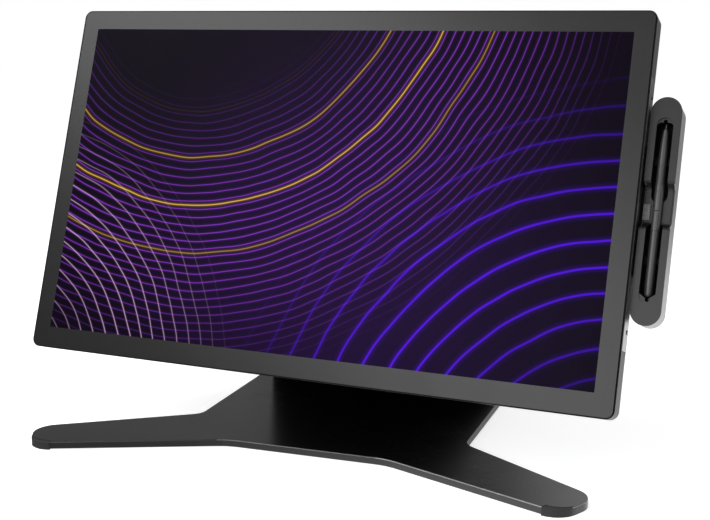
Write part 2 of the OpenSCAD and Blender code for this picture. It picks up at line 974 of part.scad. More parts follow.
module tray_bracket() {
    color([0.15, 0.15, 0.15])
        at_panel() {
            layer(strip_w0, tray_floor_w)
                translate([case_w / 2 + (tray_gap + tray_lip) / 2, tray_v])
                    square([tray_gap + tray_lip, strip_len], center = true);
            for (s = [-1, 1]) {
                layer(bracket_w0, strip_w0)
                    translate([case_w / 2 + (tray_gap + tray_lip) / 2, tray_v + s * stud_span / 2])
                        square([tray_gap + tray_lip, hook_len], center = true);
                translate([0, tray_v + s * stud_span / 2, -(bracket_w0 + bracket_w1) / 2])
                    width_rod(stud_r, case_w / 2 - stud_reach, tray_u - insert_r - part_gap);
            }
        }
}

module tray_latch() {
    color([0.3, 0.3, 0.3])
        at_panel()
            translate([0, tray_v + latch_v, 0]) {
                layer(scoop_w - latch_t, scoop_w)
                    translate([(latch_u0 + latch_u1) / 2, 0])
                        square([latch_u1 - latch_u0, latch_len], center = true);
                for (i = [0 : latch_ribs - 1])
                    layer(scoop_w - latch_t - rib_h, scoop_w - latch_t)
                        translate([(latch_u0 + latch_u1) / 2,
                            (i - (latch_ribs - 1) / 2) * latch_len / latch_ribs])
                            square([latch_u1 - latch_u0, latch_len / latch_ribs / 2], center = true);
                layer(scoop_w, scoop_w + tongue_h)
                    translate([tongue_u, tongue_v - latch_v])
                        square([tongue_w, tongue_len], center = true);
            }
}

module pen_cradles() {
    color([0.1, 0.1, 0.1])
        at_tray()
            difference() {
                for (s = [-1, 1])
                    layer(cradle_w0, slot_floor_w)
                        translate([0, slot_v + s * cradle_from_middle])
                            square([slot_w - 2 * cradle_side, cradle_len], center = true);
                translate([0, slot_v, -pen_w])
                    rotate([90, 0, 0])
                        cylinder(r = pen_r + cradle_gap, h = slot_len, center = true);
            }
}

// Pen, drawn along +Z from its tail
module at_pen() {
    at_panel()
        translate([tray_u, pen_tail_v, -pen_w])
            rotate([-90, 0, 0])
                children();
}

module pen_tail() {
    color([0.2, 0.2, 0.2])
        at_pen()
            rotate_extrude()
                polygon([[0, 0], [tail_end_r, 0], [tail_r, tail_edge], [pen_r, tail_len], [0, tail_len]]);
}

module switch_box(z0, length, grow, low) {
    translate([-switch_w / 2 - grow, -pen_r - over, z0 - grow])
        cube([switch_w + 2 * grow, pen_r + over - low, length + 2 * grow]);
}

module pen_barrel() {
    color([0.2, 0.2, 0.2])
        at_pen()
            difference() {
                translate([0, 0, tail_len])
                    cylinder(r = pen_r, h = barrel_len);
                switch_box(switch_from, 2 * switch_len + switch_gap, slide_gap, switch_floor);
            }
}

module switch_solid(z0) {
    at_pen()
        intersection() {
            translate([0, 0, z0])
                cylinder(r = pen_r + switch_proud, h = switch_len);
            switch_box(z0, switch_len, 0, switch_floor + switch_travel + switch_under);
        }
}

module pen_switch_rear() { color([0.35, 0.35, 0.35]) switch_solid(switch_from); }
module pen_switch_front() { color([0.35, 0.35, 0.35]) switch_solid(switch_from + switch_len + switch_gap); }

module pen_grip() {
    color([0.12, 0.12, 0.12])
        at_pen()
            translate([0, 0, tail_len + barrel_len])
                cylinder(r = pen_r - grip_t, h = grip_len);
}

// The nose's side view is a quarter of an ellipse
function nose_point(angle) =
    [nose_r + (pen_r - grip_t - nose_r) * cos(angle), nose_len * sin(angle)];

module pen_nose() {
    color([0.15, 0.15, 0.15])
        at_pen()
            translate([0, 0, tail_len + barrel_len + grip_len])
                difference() {
                    rotate_extrude()
                        polygon(concat([[0, 0]], [for (i = [0 : nose_steps]) nose_point(90 * i / nose_steps)],
                            [[0, nose_len]]));
                    translate([0, 0, nose_len - nib_hole])
                        cylinder(r = nib_r + fit_gap, h = nib_hole + over);
                }
}

module pen_nib() {
    color([0.05, 0.05, 0.05])
        at_pen()
            translate([0, 0, pen_len - nib_len - nib_hole + nib_end_gap]) {
                cylinder(r = nib_r, h = nib_len + nib_hole - nib_end_gap - nib_r);
                translate([0, 0, nib_len + nib_hole - nib_end_gap - nib_r])
                    sphere(r = nib_r);
            }
}

// Stand plate
function leg_front_y(x) = front_y - leg_front_slope * (x - bend_x);
function leg_back_y(x) = notch_y - leg_back_slope * (x - hub_half_w);
bend = [bend_x, front_y];
tip_front = [tip_front_x, leg_front_y(tip_front_x)];
tip_back = [tip_back_x, leg_back_y(tip_back_x)];
notch = [hub_half_w, notch_y];
hub_corner = [hub_half_w, plate_rear];
right_edge = [bend, tip_front, tip_back, notch, hub_corner];
left_edge = [for (i = [len(right_edge) - 1 : -1 : 0]) [-right_edge[i][0], right_edge[i][1]]];

module plate_outline() {
    difference() {
        union() {
            polygon(concat(right_edge, left_edge));
            for (side = [0, 1])
                mirror([side, 0]) {
                    corner_patch(bend, [0, front_y], tip_front, bend_r);
                    corner_patch(notch, tip_back, hub_corner, notch_r);
                }
        }
        for (side = [0, 1])
            mirror([side, 0]) {
                corner_patch(tip_front, bend, tip_back, tip_r);
                corner_patch(tip_back, tip_front, notch, tip_r);
                corner_patch(hub_corner, notch, [0, plate_rear], hub_r);
            }
    }
}

// The right leg's place at the foot's inner seam, with x along the leg's front edge
module at_foot() {
    translate([foot_seam_x, leg_front_y(foot_seam_x)])
        rotate(-atan(leg_front_slope))
            translate([0, -foot_room])
                children();
}

// The plate's outline moved away from the right leg's front edge
module plate_moved(distance) {
    translate(distance * unit([leg_front_slope, 1]))
        plate_outline();
}

// Where a rubber foot is let into the right leg's front edge, smaller by shrink
module foot_zone(shrink) {
    difference() {
        at_foot()
            translate([shrink, 0])
                square([foot_len - 2 * shrink, foot_reach]);
        plate_moved(foot_depth - shrink);
    }
}

module base_plate() {
    color([0.15, 0.15, 0.16])
        difference() {
            translate([0, 0, foot_gap])
                linear_extrude(plate_t)
                    difference() {
                        plate_outline();
                        for (side = [0, 1])
                            mirror([side, 0])
                                foot_zone(0);
                    }
            for (x = boss_x)
                translate([x, riser_boss_y, foot_gap]) {
                    translate([0, 0, -over])
                        cylinder(r = riser_screw_r + slide_gap, h = plate_t + 2 * over);
                    translate([0, 0, -over])
                        cylinder(r = riser_head_r + slide_gap, h = riser_head_t + over);
                }
        }
}

// A pad under each leg tip, with a bumper that comes up through the notch in the front edge
module leg_feet() {
    color([0.08, 0.08, 0.08])
        for (side = [0, 1])
            mirror([side, 0, 0]) {
                linear_extrude(foot_gap)
                    intersection() {
                        plate_outline();
                        at_foot()
                            square([tip_pad_len, tip_pad_depth]);
                    }
                linear_extrude(plate_z - foot_drop)
                    intersection() {
                        plate_moved(-foot_proud);
                        foot_zone(slide_gap);
                    }
            }
}

module rear_feet() {
    color([0.08, 0.08, 0.08])
        for (side = [-1, 1])
            translate([side * (hub_half_w - hub_r - rear_foot_in), plate_rear - hub_r, 0])
                cylinder(r = rear_foot_r, h = foot_gap);
}

module centre_pad() {
    color([0.08, 0.08, 0.08])
        cylinder(r = pad_r, h = foot_gap);
}

// Riser
module riser_width(inset, z0, z1) {
    polygon([[-riser_half(z0) + inset, z0], [riser_half(z0) - inset, z0],
        [riser_half(z1) - inset, z1], [-riser_half(z1) + inset, z1]]);
}

module riser_outline() {
    crown = [riser_half(head_z1), head_z1];
    difference() {
        riser_width(0, plate_z, head_z1);
        for (side = [0, 1])
            mirror([side, 0])
                corner_patch(crown, [0, head_z1], [riser_half_w, plate_z], crown_r);
    }
}

// The riser from above: its head narrows to the front, where the screen's back swings past
module riser_plan() {
    wing = riser_half_w + over;
    wing_y = nose_slope * (wing - nose_half) - head_front;
    nose = nose_half - over / nose_slope;
    polygon([[-nose, -head_front - over], [nose, -head_front - over], [wing, wing_y],
        [wing, riser_rear + over], [-wing, riser_rear + over], [-wing, wing_y]]);
}

module riser_solid() {
    intersection() {
        side_cut(riser_half_w)
            polygon([[riser_front, plate_z], [head_rear, head_z0], [-head_front, head_z0],
                [-head_front, head_z1], [crown_y, head_z1], [riser_rear, plate_z]]);
        front_cut(-head_front - over, riser_rear + over)
            riser_outline();
        translate([0, 0, plate_z - over])
            linear_extrude(head_z1 - plate_z + 2 * over)
                riser_plan();
    }
}

module riser_cavity() {
    roof = head_z1 - riser_roof;
    intersection() {
        side_cut(riser_half_w)
            polygon([[riser_front + riser_skin_y, plate_z], [riser_front + riser_skin_y, plate_z - over],
                [riser_rear + over, plate_z - over], [riser_rear + over, plate_z],
                [back_y(cover_z1) + over, cover_z1],
                [back_y(cover_z1) - cover_y, cover_z1], [back_y(roof) - cover_y, roof],
                [head_rear + riser_skin_y, roof], [head_rear + riser_skin_y, head_z0]]);
        front_cut(-head_front, riser_rear + 2 * over)
            riser_width(riser_wall + riser_ledge, plate_z - over, roof + over);
    }
}

// The rear opening's recess, or the cover that fills it: smaller by shrink, lifted off its seat, and
// standing out of the back
module rear_panel(shrink, lift, out) {
    low = plate_z + shrink;
    high = cover_z1 - shrink;
    intersection() {
        side_cut(riser_half_w)
            polygon([[back_y(low) - cover_y + lift, low], [back_y(low) + out, low],
                [back_y(high) + out, high], [back_y(high) - cover_y + lift, high]]);
        front_cut(-head_front, riser_rear + 2 * over)
            riser_width(riser_wall + shrink, plate_z - over, head_z1);
    }
}

// The four cover screws' places, with +Z out of the sloping back
module at_cover_screws() {
    for (z = cover_screw_z, side = [-1, 1])
        translate([side * (riser_half(z) - riser_wall - riser_ledge / 2), back_y(z), z])
            rotate([-back_angle, 0, 0])
                children();
}

module riser_bosses() {
    intersection() {
        riser_solid();
        for (x = boss_x) {
            translate([x, riser_boss_y, plate_z])
                cylinder(r = riser_boss_r, h = riser_boss_h);
            translate([x - riser_boss_r / 2, riser_front - riser_boss_h, plate_z])
                cube([riser_boss_r, riser_boss_y - riser_front + riser_boss_h, riser_boss_h]);
        }
    }
}

// The arc that the stop pin runs in, as seen from above
module stop_arc() {
    reach = 2 * stop_radius;
    difference() {
        circle(stop_radius + stop_r + stop_gap);
        circle(stop_radius - stop_r - stop_gap);
        polygon([[0, 0], for (a = [90 + stop_half_angle, 180, 270, 360, 450 - stop_half_angle])
            reach * [cos(a), sin(a)]]);
    }
    for (side = [-1, 1])
        rotate(side * stop_half_angle)
            translate([0, stop_radius])
                circle(stop_r + stop_gap + arc_bite);
}

module riser() {
    color([0.14, 0.14, 0.15])
        difference() {
            union() {
                difference() {
                    riser_solid();
                    riser_cavity();
                    rear_panel(0, 0, over);
                    at_cover_screws()
                        translate([0, 0, -cover_screw_len - hole_spare])
                            cylinder(r = cover_screw_r + fit_gap, h = cover_screw_len + hole_spare);
                }
                riser_bosses();
            }
            for (x = boss_x)
                translate([x, riser_boss_y, plate_z - over])
                    cylinder(r = riser_screw_r + fit_gap, h = riser_screw_len + hole_spare + over);
            translate([0, 0, head_z0 - over])
                cylinder(r = bush_r + fit_gap, h = head_h + 2 * over);
            translate([0, 0, head_z0 - over])
                cylinder(r = well_r, h = well_h + over);
            translate([0, 0, head_z1 - stop_depth])
                linear_extrude(stop_depth + over)
                    stop_arc();
        }
}

module riser_screws() {
    color([0.4, 0.4, 0.42])
        for (x = boss_x)
            translate([x, riser_boss_y, foot_gap]) {
                cylinder(r = riser_head_r, h = riser_head_t);
                cylinder(r = riser_screw_r, h = plate_t + riser_screw_len);
            }
}

module riser_cover() {
    color([0.16, 0.16, 0.17])
        difference() {
            rear_panel(part_gap, fit_gap, 0);
            at_cover_screws() {
                translate([0, 0, -cover_screw_len])
                    cylinder(r = cover_screw_r + slide_gap, h = cover_screw_len + over);
                translate([0, 0, -cover_head_t])
                    cylinder(r = cover_head_r + slide_gap, h = cover_head_t + over);
            }
        }
}

module cover_screws() {
    color([0.1, 0.1, 0.1])
        at_cover_screws() {
            translate([0, 0, -cover_screw_len])
                cylinder(r = cover_screw_r, h = cover_screw_len - cover_head_t / 2);
            translate([0, 0, -cover_head_t])
                cylinder(r = cover_head_r, h = cover_head_t);
        }
}

// Swivel
module swivel_bush() {
    color([0.7, 0.55, 0.3])
        translate([0, 0, head_z0 + well_h])
            difference() {
                cylinder(r = bush_r, h = head_h - well_h);
                translate([0, 0, -over])
                    cylinder(r = post_r + fit_gap, h = head_h);
            }
}

module thrust_washer() {
    color([0.85, 0.85, 0.8])
        translate([0, 0, head_z1])
            difference() {
                cylinder(r = thrust_r, h = thrust_t - thrust_gap);
                translate([0, 0, -over])
                    cylinder(r = post_r + part_gap, h = thrust_t + 2 * over);
            }
}

module head_cap() {
    color([0.14, 0.14, 0.15])
        translate([0, 0, head_z0])
            cylinder(r = well_r - slide_gap, h = cap_t);
}

module swivel_post() {
    color([0.6, 0.6, 0.62])
        translate([0, 0, head_z0 + well_h - nut_gap - nut_h]) {
            cylinder(r = post_r, h = head_h - well_h + nut_gap + nut_h + thrust_t);
            cylinder(r = spigot_r, h = head_h - well_h + nut_gap + nut_h + thrust_t + spigot_h);
        }
}

module swivel_nut() {
    color([0.5, 0.5, 0.52])
        translate([0, 0, head_z0 + well_h - nut_gap - nut_h])
            difference() {
                cylinder(r = nut_r, h = nut_h);
                translate([0, 0, -over])
                    cylinder(r = post_r + fit_gap, h = nut_h + 2 * over);
            }
}

module stop_pin() {
    color([0.6, 0.6, 0.62])
        at_yoke()
            translate([0, stop_radius, -yoke_drop - thrust_t - stop_depth + pin_float])
                cylinder(r = stop_r, h = stop_depth - pin_float + thrust_t + yoke_t - pin_cover);
}

module cheek_outline() {
    polygon([[-cheek_foot, yoke_t - yoke_drop - over], [cheek_foot, yoke_t - yoke_drop - over],
        [cheek_r, 0], [-cheek_r, 0]]);
    circle(cheek_r);
}

module yoke() {
    color([0.16, 0.16, 0.17])
        at_yoke()
            difference() {
                union() {
                    translate([0, 0, -yoke_drop])
                        linear_extrude(yoke_t)
                            rounded_sheet(yoke_w, yoke_l, yoke_r);
                    for (x = [-cheek_in - cheek_t, cheek_in])
                        translate([x, 0, 0])
                            rotate([90, 0, 90])
                                linear_extrude(cheek_t)
                                    cheek_outline();
                }
                width_rod(axle_r + fit_gap, -yoke_w, yoke_w);
                translate([0, 0, -yoke_drop - over])
                    cylinder(r = spigot_r + fit_gap, h = spigot_h + part_gap + over);
                translate([0, stop_radius, -yoke_drop - over])
                    cylinder(r = stop_r + fit_gap, h = yoke_t - pin_cover + pin_end_gap + over);
            }
}

// Tilt
module tilt_axle() {
    color([0.65, 0.65, 0.67])
        at_yoke()
            width_rod(axle_r, -axle_end, axle_end);
}

module axle_caps() {
    color([0.2, 0.2, 0.2])
        at_yoke()
            difference() {
                for (side = [-1, 1])
                    translate([side * (cheek_in + cheek_t + axle_cap_t / 2) - axle_cap_t / 2, 0, 0])
                        width_rod(axle_cap_r, 0, axle_cap_t);
                width_rod(axle_r + fit_gap, -axle_end - slide_gap, axle_end + slide_gap);
            }
}

module friction_discs() {
    color([0.7, 0.7, 0.7])
        at_yoke()
            difference() {
                for (side = [-1, 1])
                    translate([side * (cheek_in - disc_t / 2) - disc_t / 2, 0, 0])
                        width_rod(disc_r, 0, disc_t);
                width_rod(axle_r + fit_gap, -yoke_w, yoke_w);
            }
}

module mount_plate() {
    color([0.18, 0.18, 0.19])
        at_panel()
            difference() {
                union() {
                    layer(case_depth, case_depth + mount_plate_t)
                        rounded_sheet(mount_plate_side, mount_plate_side, mount_plate_r);
                    translate([-knuckle_half, -axle_drop - web_half, -axle_back])
                        cube([2 * knuckle_half, 2 * web_half, axle_back - case_depth - mount_plate_t / 2]);
                    translate([0, -axle_drop, -axle_back])
                        width_rod(knuckle_r, -knuckle_half, knuckle_half);
                }
                translate([0, -axle_drop, -axle_back])
                    width_rod(axle_r + fit_gap, -yoke_w, yoke_w);
                for (su = [-1, 1], sv = [-1, 1])
                    layer(case_depth - over, case_depth + mount_plate_t + over)
                        translate([su * mount_span / 2, sv * mount_span / 2])
                            circle(mount_hole_r);
            }
}

module mount_screws() {
    color([0.3, 0.3, 0.3])
        at_panel()
            for (su = [-1, 1], sv = [-1, 1])
                translate([su * mount_span / 2, sv * mount_span / 2, 0]) {
                    layer(skin_w0 - mount_screw_grip, case_depth + mount_plate_t + mount_head_t / 2)
                        circle(mount_screw_r);
                    layer(case_depth + mount_plate_t, case_depth + mount_plate_t + mount_head_t)
                        circle(mount_head_r);
                }
}

cover_glass();
glass_gasket();
mid_frame();
lcd_cell();
backlight();
backlight_tray();
sensor_sheet();
chassis_plate();
main_board();
port_block();
heat_spreader();
driver_board();
key_boards();
rear_cover();
case_screws();
side_rail_left();
side_rail_right();
power_button();
rear_key_left_1();
rear_key_left_2();
rear_key_left_3();
rear_key_left_4();
rear_key_right_1();
rear_key_right_2();
rear_key_right_3();
rear_key_right_4();
tray_bracket();
tray_body();
tray_insert();
tray_latch();
pen_cradles();
pen_nib();
pen_nose();
pen_grip();
pen_barrel();
pen_switch_front();
pen_switch_rear();
pen_tail();
base_plate();
leg_feet();
rear_feet();
centre_pad();
riser();
riser_screws();
riser_cover();
cover_screws();
swivel_bush();
thrust_washer();
head_cap();
swivel_post();
swivel_nut();
stop_pin();
yoke();
tilt_axle();
axle_caps();
friction_discs();
mount_plate();
mount_screws();
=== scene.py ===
"""Looks of a pen display on its swivelling stand: finishes, lit screen, small hardware and studio."""
import json
import logging
import math
from collections.abc import Callable
from dataclasses import dataclass
from enum import Enum

import bmesh
import bpy
from bmesh.types import BMEdge, BMesh, BMVert
from bpy.types import (
    Material, Mesh, MeshPolygon, Node, NodeInputs, NodeOutputs, NodeSocket as Socket, NodeTree,
    Object,
)
from mathutils import Matrix, Vector
from mathutils.bvhtree import BVHTree


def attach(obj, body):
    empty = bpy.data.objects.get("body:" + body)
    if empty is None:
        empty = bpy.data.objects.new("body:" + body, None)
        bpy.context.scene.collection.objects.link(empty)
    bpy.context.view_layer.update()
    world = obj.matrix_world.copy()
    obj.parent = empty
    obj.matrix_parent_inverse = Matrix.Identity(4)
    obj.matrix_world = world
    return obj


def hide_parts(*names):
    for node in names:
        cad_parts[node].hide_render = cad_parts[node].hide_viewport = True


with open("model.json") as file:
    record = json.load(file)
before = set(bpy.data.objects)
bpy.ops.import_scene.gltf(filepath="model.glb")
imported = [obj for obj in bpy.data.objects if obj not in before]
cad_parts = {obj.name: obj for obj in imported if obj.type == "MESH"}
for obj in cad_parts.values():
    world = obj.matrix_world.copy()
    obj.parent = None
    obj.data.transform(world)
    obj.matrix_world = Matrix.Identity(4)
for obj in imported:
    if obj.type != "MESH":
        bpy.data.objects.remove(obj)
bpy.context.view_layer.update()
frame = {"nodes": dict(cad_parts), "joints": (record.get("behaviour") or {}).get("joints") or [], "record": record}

MM = 0.001
MERGE_DISTANCE = 0.002 * MM
FLAT_ANGLE = math.radians(0.5)
SHARP_ANGLE = math.radians(34.0)
SMOOTH_ANGLE = math.radians(50.0)
ROUND_STEPS = 2
ROUND_PROFILE = 0.5
FLOAT = "NodeSocketFloat"
VECTOR = "NodeSocketVector"
GEOMETRY = "NodeSocketGeometry"

Colour = tuple[float, float, float, float]
Point = tuple[float, float, float]
Span = tuple[float, float]
Feed = Socket | float | Colour | Point
Feeds = dict[str | int, Feed]
FaceTest = Callable[[MeshPolygon], bool]

ORIGIN: Point = (0.0, 0.0, 0.0)

log = logging.getLogger("pen_display")


def grey(level: float) -> Colour:
    """A neutral colour of one linear level."""
    return (level, level, level, 1.0)


def scaled(colour: Colour, factor: float) -> Colour:
    """A colour made darker or paler by a factor."""
    return (*(part * factor for part in colour[:3]), 1.0)


def new_group(name: str, kind: str, inputs: dict[str, str], outputs: dict[str, str]) -> NodeTree:
    """Starts a node group.

    Args:
        name: The group's name.
        kind: Its tree type.
        inputs: Socket types of its inputs, by name.
        outputs: Socket types of its outputs, by name.

    Returns:
        The group, with no nodes yet.
    """
    group = bpy.data.node_groups.new(name, kind)
    for side, sockets in (("INPUT", inputs), ("OUTPUT", outputs)):
        for label, socket in sockets.items():
            group.interface.new_socket(label, in_out=side, socket_type=socket)
    return group


class Tree:
    """A node tree with short ways to add nodes and join their sockets."""

    MIX_FIRST = 6
    MIX_SECOND = 7
    MIX_RESULT = 2

    def __init__(self, tree: NodeTree) -> None:
        """Keeps the tree that the nodes go into."""
        self.tree = tree

    def add(self, kind: str, inputs: Feeds | None = None, **settings: object) -> Node:
        """Adds a node and feeds its inputs.

        Args:
            kind: The node's type name.
            inputs: What its inputs get, by name or place.
            settings: Properties of the node, by name.

        Returns:
            The new node.
        """
        node = self.tree.nodes.new(kind)
        for name, value in settings.items():
            setattr(node, name, value)
        for place, value in (inputs or {}).items():
            self.feed(node.inputs[place], value)
        return node

    def feed(self, socket: Socket, value: Feed) -> None:
        """Joins an output to a socket, or sets the socket's own value.

        Args:
            socket: The input socket.
            value: An output socket, or a plain value.
        """
        if isinstance(value, Socket):
            self.tree.links.new(value, socket)
        else:
            socket.default_value = value

    def math(self, operation: str, first: Feed, second: Feed = 0.0) -> Socket:
        """One arithmetic step."""
        return self.add("ShaderNodeMath", {0: first, 1: second}, operation=operation).outputs[0]

    def times(self, first: Feed, second: Feed) -> Socket:
        """The product of two values."""
        return self.math("MULTIPLY", first, second)

    def distance(self, first: Feed, second: Feed) -> Socket:
        """The distance between two points."""
        return self.add("ShaderNodeVectorMath", {0: first, 1: second}, operation="DISTANCE").outputs["Value"]

    def split(self, vector: Feed) -> NodeOutputs:
        """The three parts of a vector, as X, Y and Z."""
        return self.add("ShaderNodeSeparateXYZ", {0: vector}).outputs

    def ramp(self, value: Feed, span: tuple[Feed, Feed], to: Span, kind: str = "SMOOTHSTEP") -> Socket:
        """Maps a value from one span to another, held at the ends."""
        ends = {"Value": value, "From Min": span[0], "From Max": span[1], "To Min": to[0], "To Max": to[1]}
        return self.add("ShaderNodeMapRange", ends, interpolation_type=kind).outputs["Result"]

    def noise(self, vector: Feed, scale: Feed, layers: float) -> Socket:
        """Soft noise from 0 to 1, with finer layers on top."""
        return self.add("ShaderNodeTexNoise", {"Vector": vector, "Scale": scale, "Detail": layers}).outputs[0]

    def blend(self, share: Feed, first: Feed, second: Feed, kind: str = "MIX") -> Socket:
        """Mixes a share of a second colour into a first."""
        ends = {0: share, self.MIX_FIRST: first, self.MIX_SECOND: second}
        return self.add("ShaderNodeMix", ends, data_type="RGBA", blend_type=kind).outputs[self.MIX_RESULT]

    def effect(self, shared: "Effect", **values: Feed) -> NodeOutputs:
        """Places a shared effect, with what its inputs get by name."""
        inputs = {name.replace("_", " "): value for name, value in values.items()}
        return self.add("ShaderNodeGroup", inputs, node_tree=shared.group()).outputs


class Effect:
    """A shader effect that several finishes share, built once as a node group."""

    NAME: str
    INPUTS: dict[str, str]
    OUTPUTS: tuple[str, ...]

    def fill(self, tree: Tree, given: NodeOutputs) -> dict[str, Socket]:
        """Adds the effect's nodes to its tree and gives its results by name."""
        raise NotImplementedError

    def group(self) -> NodeTree:
        """The effect's node group, made at its first use.

        Returns:
            The group.
        """
        if self.NAME in bpy.data.node_groups:
            return bpy.data.node_groups[self.NAME]
        tree = Tree(new_group(self.NAME, "ShaderNodeTree", self.INPUTS, dict.fromkeys(self.OUTPUTS, FLOAT)))
        given = tree.add("NodeGroupInput").outputs
        tree.add("NodeGroupOutput", self.fill(tree, given))
        return tree.tree


@dataclass(frozen=True)
class Grain(Effect):
    """Fine grain of a coat or a moulding, with a slow drift of tone."""

    NAME = "surface_grain"
    INPUTS = {"Vector": VECTOR, "Cells": FLOAT, "Drift Cells": FLOAT}
    OUTPUTS = ("Height", "Tone")

    layers: float = 3.0
    drift_layers: float = 4.0

    def fill(self, tree: Tree, given: NodeOutputs) -> dict[str, Socket]:
        """Adds the fine noise and the slow one."""
        fine = tree.noise(given["Vector"], given["Cells"], self.layers)
        return {"Height": fine, "Tone": tree.noise(given["Vector"], given["Drift Cells"], self.drift_layers)}


@dataclass(frozen=True)
class Handling(Effect):
    """Faint smears left by hands, as a mask."""

    NAME = "handling_smears"
    INPUTS = {"Vector": VECTOR, "Cells": FLOAT}
    OUTPUTS = ("Smear",)

    broad_layers: float = 1.0
    broad_span: Span = (0.48, 0.72)
    fine_cells: float = 6.0
    fine_layers: float = 5.0
    fine_span: Span = (0.35, 0.75)
    fine_levels: Span = (0.2, 1.0)

    def fill(self, tree: Tree, given: NodeOutputs) -> dict[str, Socket]:
        """Breaks broad patches up with finer noise.

        Args:
            tree: The effect's tree.
            given: Its inputs.

        Returns:
            The mask, by name.
        """
        broad = tree.noise(given["Vector"], given["Cells"], self.broad_layers)
        fine = tree.noise(given["Vector"], tree.times(given["Cells"], self.fine_cells), self.fine_layers)
        patch = tree.ramp(broad, self.broad_span, (0.0, 1.0))
        return {"Smear": tree.times(patch, tree.ramp(fine, self.fine_span, self.fine_levels))}


@dataclass(frozen=True)
class Ripple(Effect):
    """Thin rings around a centre, fading in and out with the distance from it."""

    NAME = "ripple_rings"
    INPUTS = {"Vector": VECTOR, "Centre": VECTOR, "Pitch": FLOAT, "Width": FLOAT, "Near": FLOAT, "Far": FLOAT}
    OUTPUTS = ("Ring",)

    core: float = 0.3
    halo_reach: float = 3.5
    halo_level: float = 0.16

    def fill(self, tree: Tree, given: NodeOutputs) -> dict[str, Socket]:
        """Draws a line with a halo at the middle of each pitch.

        Args:
            tree: The effect's tree.
            given: Its inputs.

        Returns:
            The rings, by name.
        """
        radius = tree.distance(given["Vector"], given["Centre"])
        turn = tree.math("FRACT", tree.math("DIVIDE", radius, given["Pitch"]))
        off = tree.times(tree.math("ABSOLUTE", tree.math("SUBTRACT", turn, 0.5)), given["Pitch"])
        line = tree.ramp(off, (tree.times(given["Width"], self.core), given["Width"]), (1.0, 0.0))
        halo = tree.ramp(off, (0.0, tree.times(given["Width"], self.halo_reach)), (self.halo_level, 0.0))
        half = tree.times(tree.math("ADD", given["Near"], given["Far"]), 0.5)
        rise = tree.ramp(radius, (given["Near"], half), (0.0, 1.0))
        fall = tree.ramp(radius, (half, given["Far"]), (1.0, 0.0))
        return {"Ring": tree.times(tree.math("MAXIMUM", line, halo), tree.times(rise, fall))}


@dataclass(frozen=True)
class PanelAxes:
    """The screen's own axes, from the middle of the glass's front: u right, v up, n out of the glass."""

    origin: Vector
    u: Vector
    v: Vector
    n: Vector

    @classmethod
    def from_frame(cls, nodes: dict[str, Object], joints: list[dict]) -> "PanelAxes":
        """Reads the axes from the joints and the glass.

        Args:
            nodes: The part's nodes.
            joints: The part's joints.

        Returns:
            The screen's axes.
        """
        lines = {joint["name"]: Vector(joint["axis"]) for joint in joints}
        loose = cls(Vector(), lines["tilt"], lines["tray_latch_slide"], lines["pen_lift"])
        low, high = loose.extent(nodes["cover_glass"])
        middle = (low + high) / 2
        return cls(loose.point(middle.x, middle.y, high.z), loose.u, loose.v, loose.n)

    def matrix(self) -> Matrix:
        """The move from the screen's axes to the part's."""
        turn = Matrix((self.u, self.v, self.n)).transposed()
        return Matrix.Translation(self.origin) @ turn.to_4x4()

    def point(self, u: float, v: float, n: float) -> Vector:
        """A point given on the screen's axes, on the part's."""
        return self.origin + u * self.u + v * self.v + n * self.n

    def extent(self, node: Object) -> tuple[Vector, Vector]:
        """The lowest and highest corner of a node on the screen's axes.

        Args:
            node: The node to measure.

        Returns:
            Both corners, as (u, v, n).
        """
        spots = [vertex.co - self.origin for vertex in node.data.vertices]
        spans = [[spot.dot(axis) for spot in spots] for axis in (self.u, self.v, self.n)]
        return Vector([min(span) for span in spans]), Vector([max(span) for span in spans])


class Finish:
    """A surface's look, made as a material."""

    HEIGHTS = (0.2, 0.8)

    name: str
    roughness: float
    spread: float

    def start(self) -> tuple[Material, Tree, NodeInputs]:
        """Makes a plain material.

        Returns:
            The material, its tree and its shader's inputs.
        """
        material = bpy.data.materials.new(self.name)
        material.use_nodes = True
        return material, Tree(material.node_tree), material.node_tree.nodes["Principled BSDF"].inputs

    def uneven(self, tree: Tree, height: Socket) -> Socket:
        """The roughness, which varies by a share with the grain's height."""
        ends = (self.roughness * (1 - self.spread), self.roughness * (1 + self.spread))
        return tree.ramp(height, self.HEIGHTS, ends, "LINEAR")

    def emboss(self, tree: Tree, shader: NodeInputs, height: Socket, relief: float) -> None:
        """Raises the grain on the surface."""
        bump = tree.add("ShaderNodeBump", {"Distance": relief, "Height": height})
        tree.feed(shader["Normal"], bump.outputs["Normal"])


@dataclass(frozen=True)
class Coating(Finish):
    """A painted, moulded or coated surface with fine grain and faint handling marks."""

    name: str
    colour: Colour
    roughness: float
    specular: float = 0.5
    metallic: float = 0.0
    grain: float = 0.35 * MM
    relief: float = 0.006 * MM
    drift: float = 0.08
    drift_size: float = 90 * MM
    smear: float = 0.05
    smear_size: float = 70 * MM
    spread: float = 0.06

    def material(self) -> Material:
        """Builds the coating's material.

        Returns:
            The material.
        """
        material, tree, shader = self.start()
        place = tree.add("ShaderNodeTexCoord").outputs["Object"]
        grain = tree.effect(Grain(), Vector=place, Cells=1 / self.grain, Drift_Cells=1 / self.drift_size)
        smear = tree.effect(Handling(), Vector=place, Cells=1 / self.smear_size)["Smear"]
        dark, pale = scaled(self.colour, 1 - self.drift), scaled(self.colour, 1 + self.drift)
        tree.feed(shader["Base Color"], tree.blend(grain["Tone"], dark, pale))
        worn = tree.math("ADD", self.uneven(tree, grain["Height"]), tree.times(smear, self.smear))
        tree.feed(shader["Roughness"], worn)
        self.emboss(tree, shader, grain["Height"], self.relief)
        shader["Metallic"].default_value = self.metallic
        shader["Specular IOR Level"].default_value = self.specular
        return material


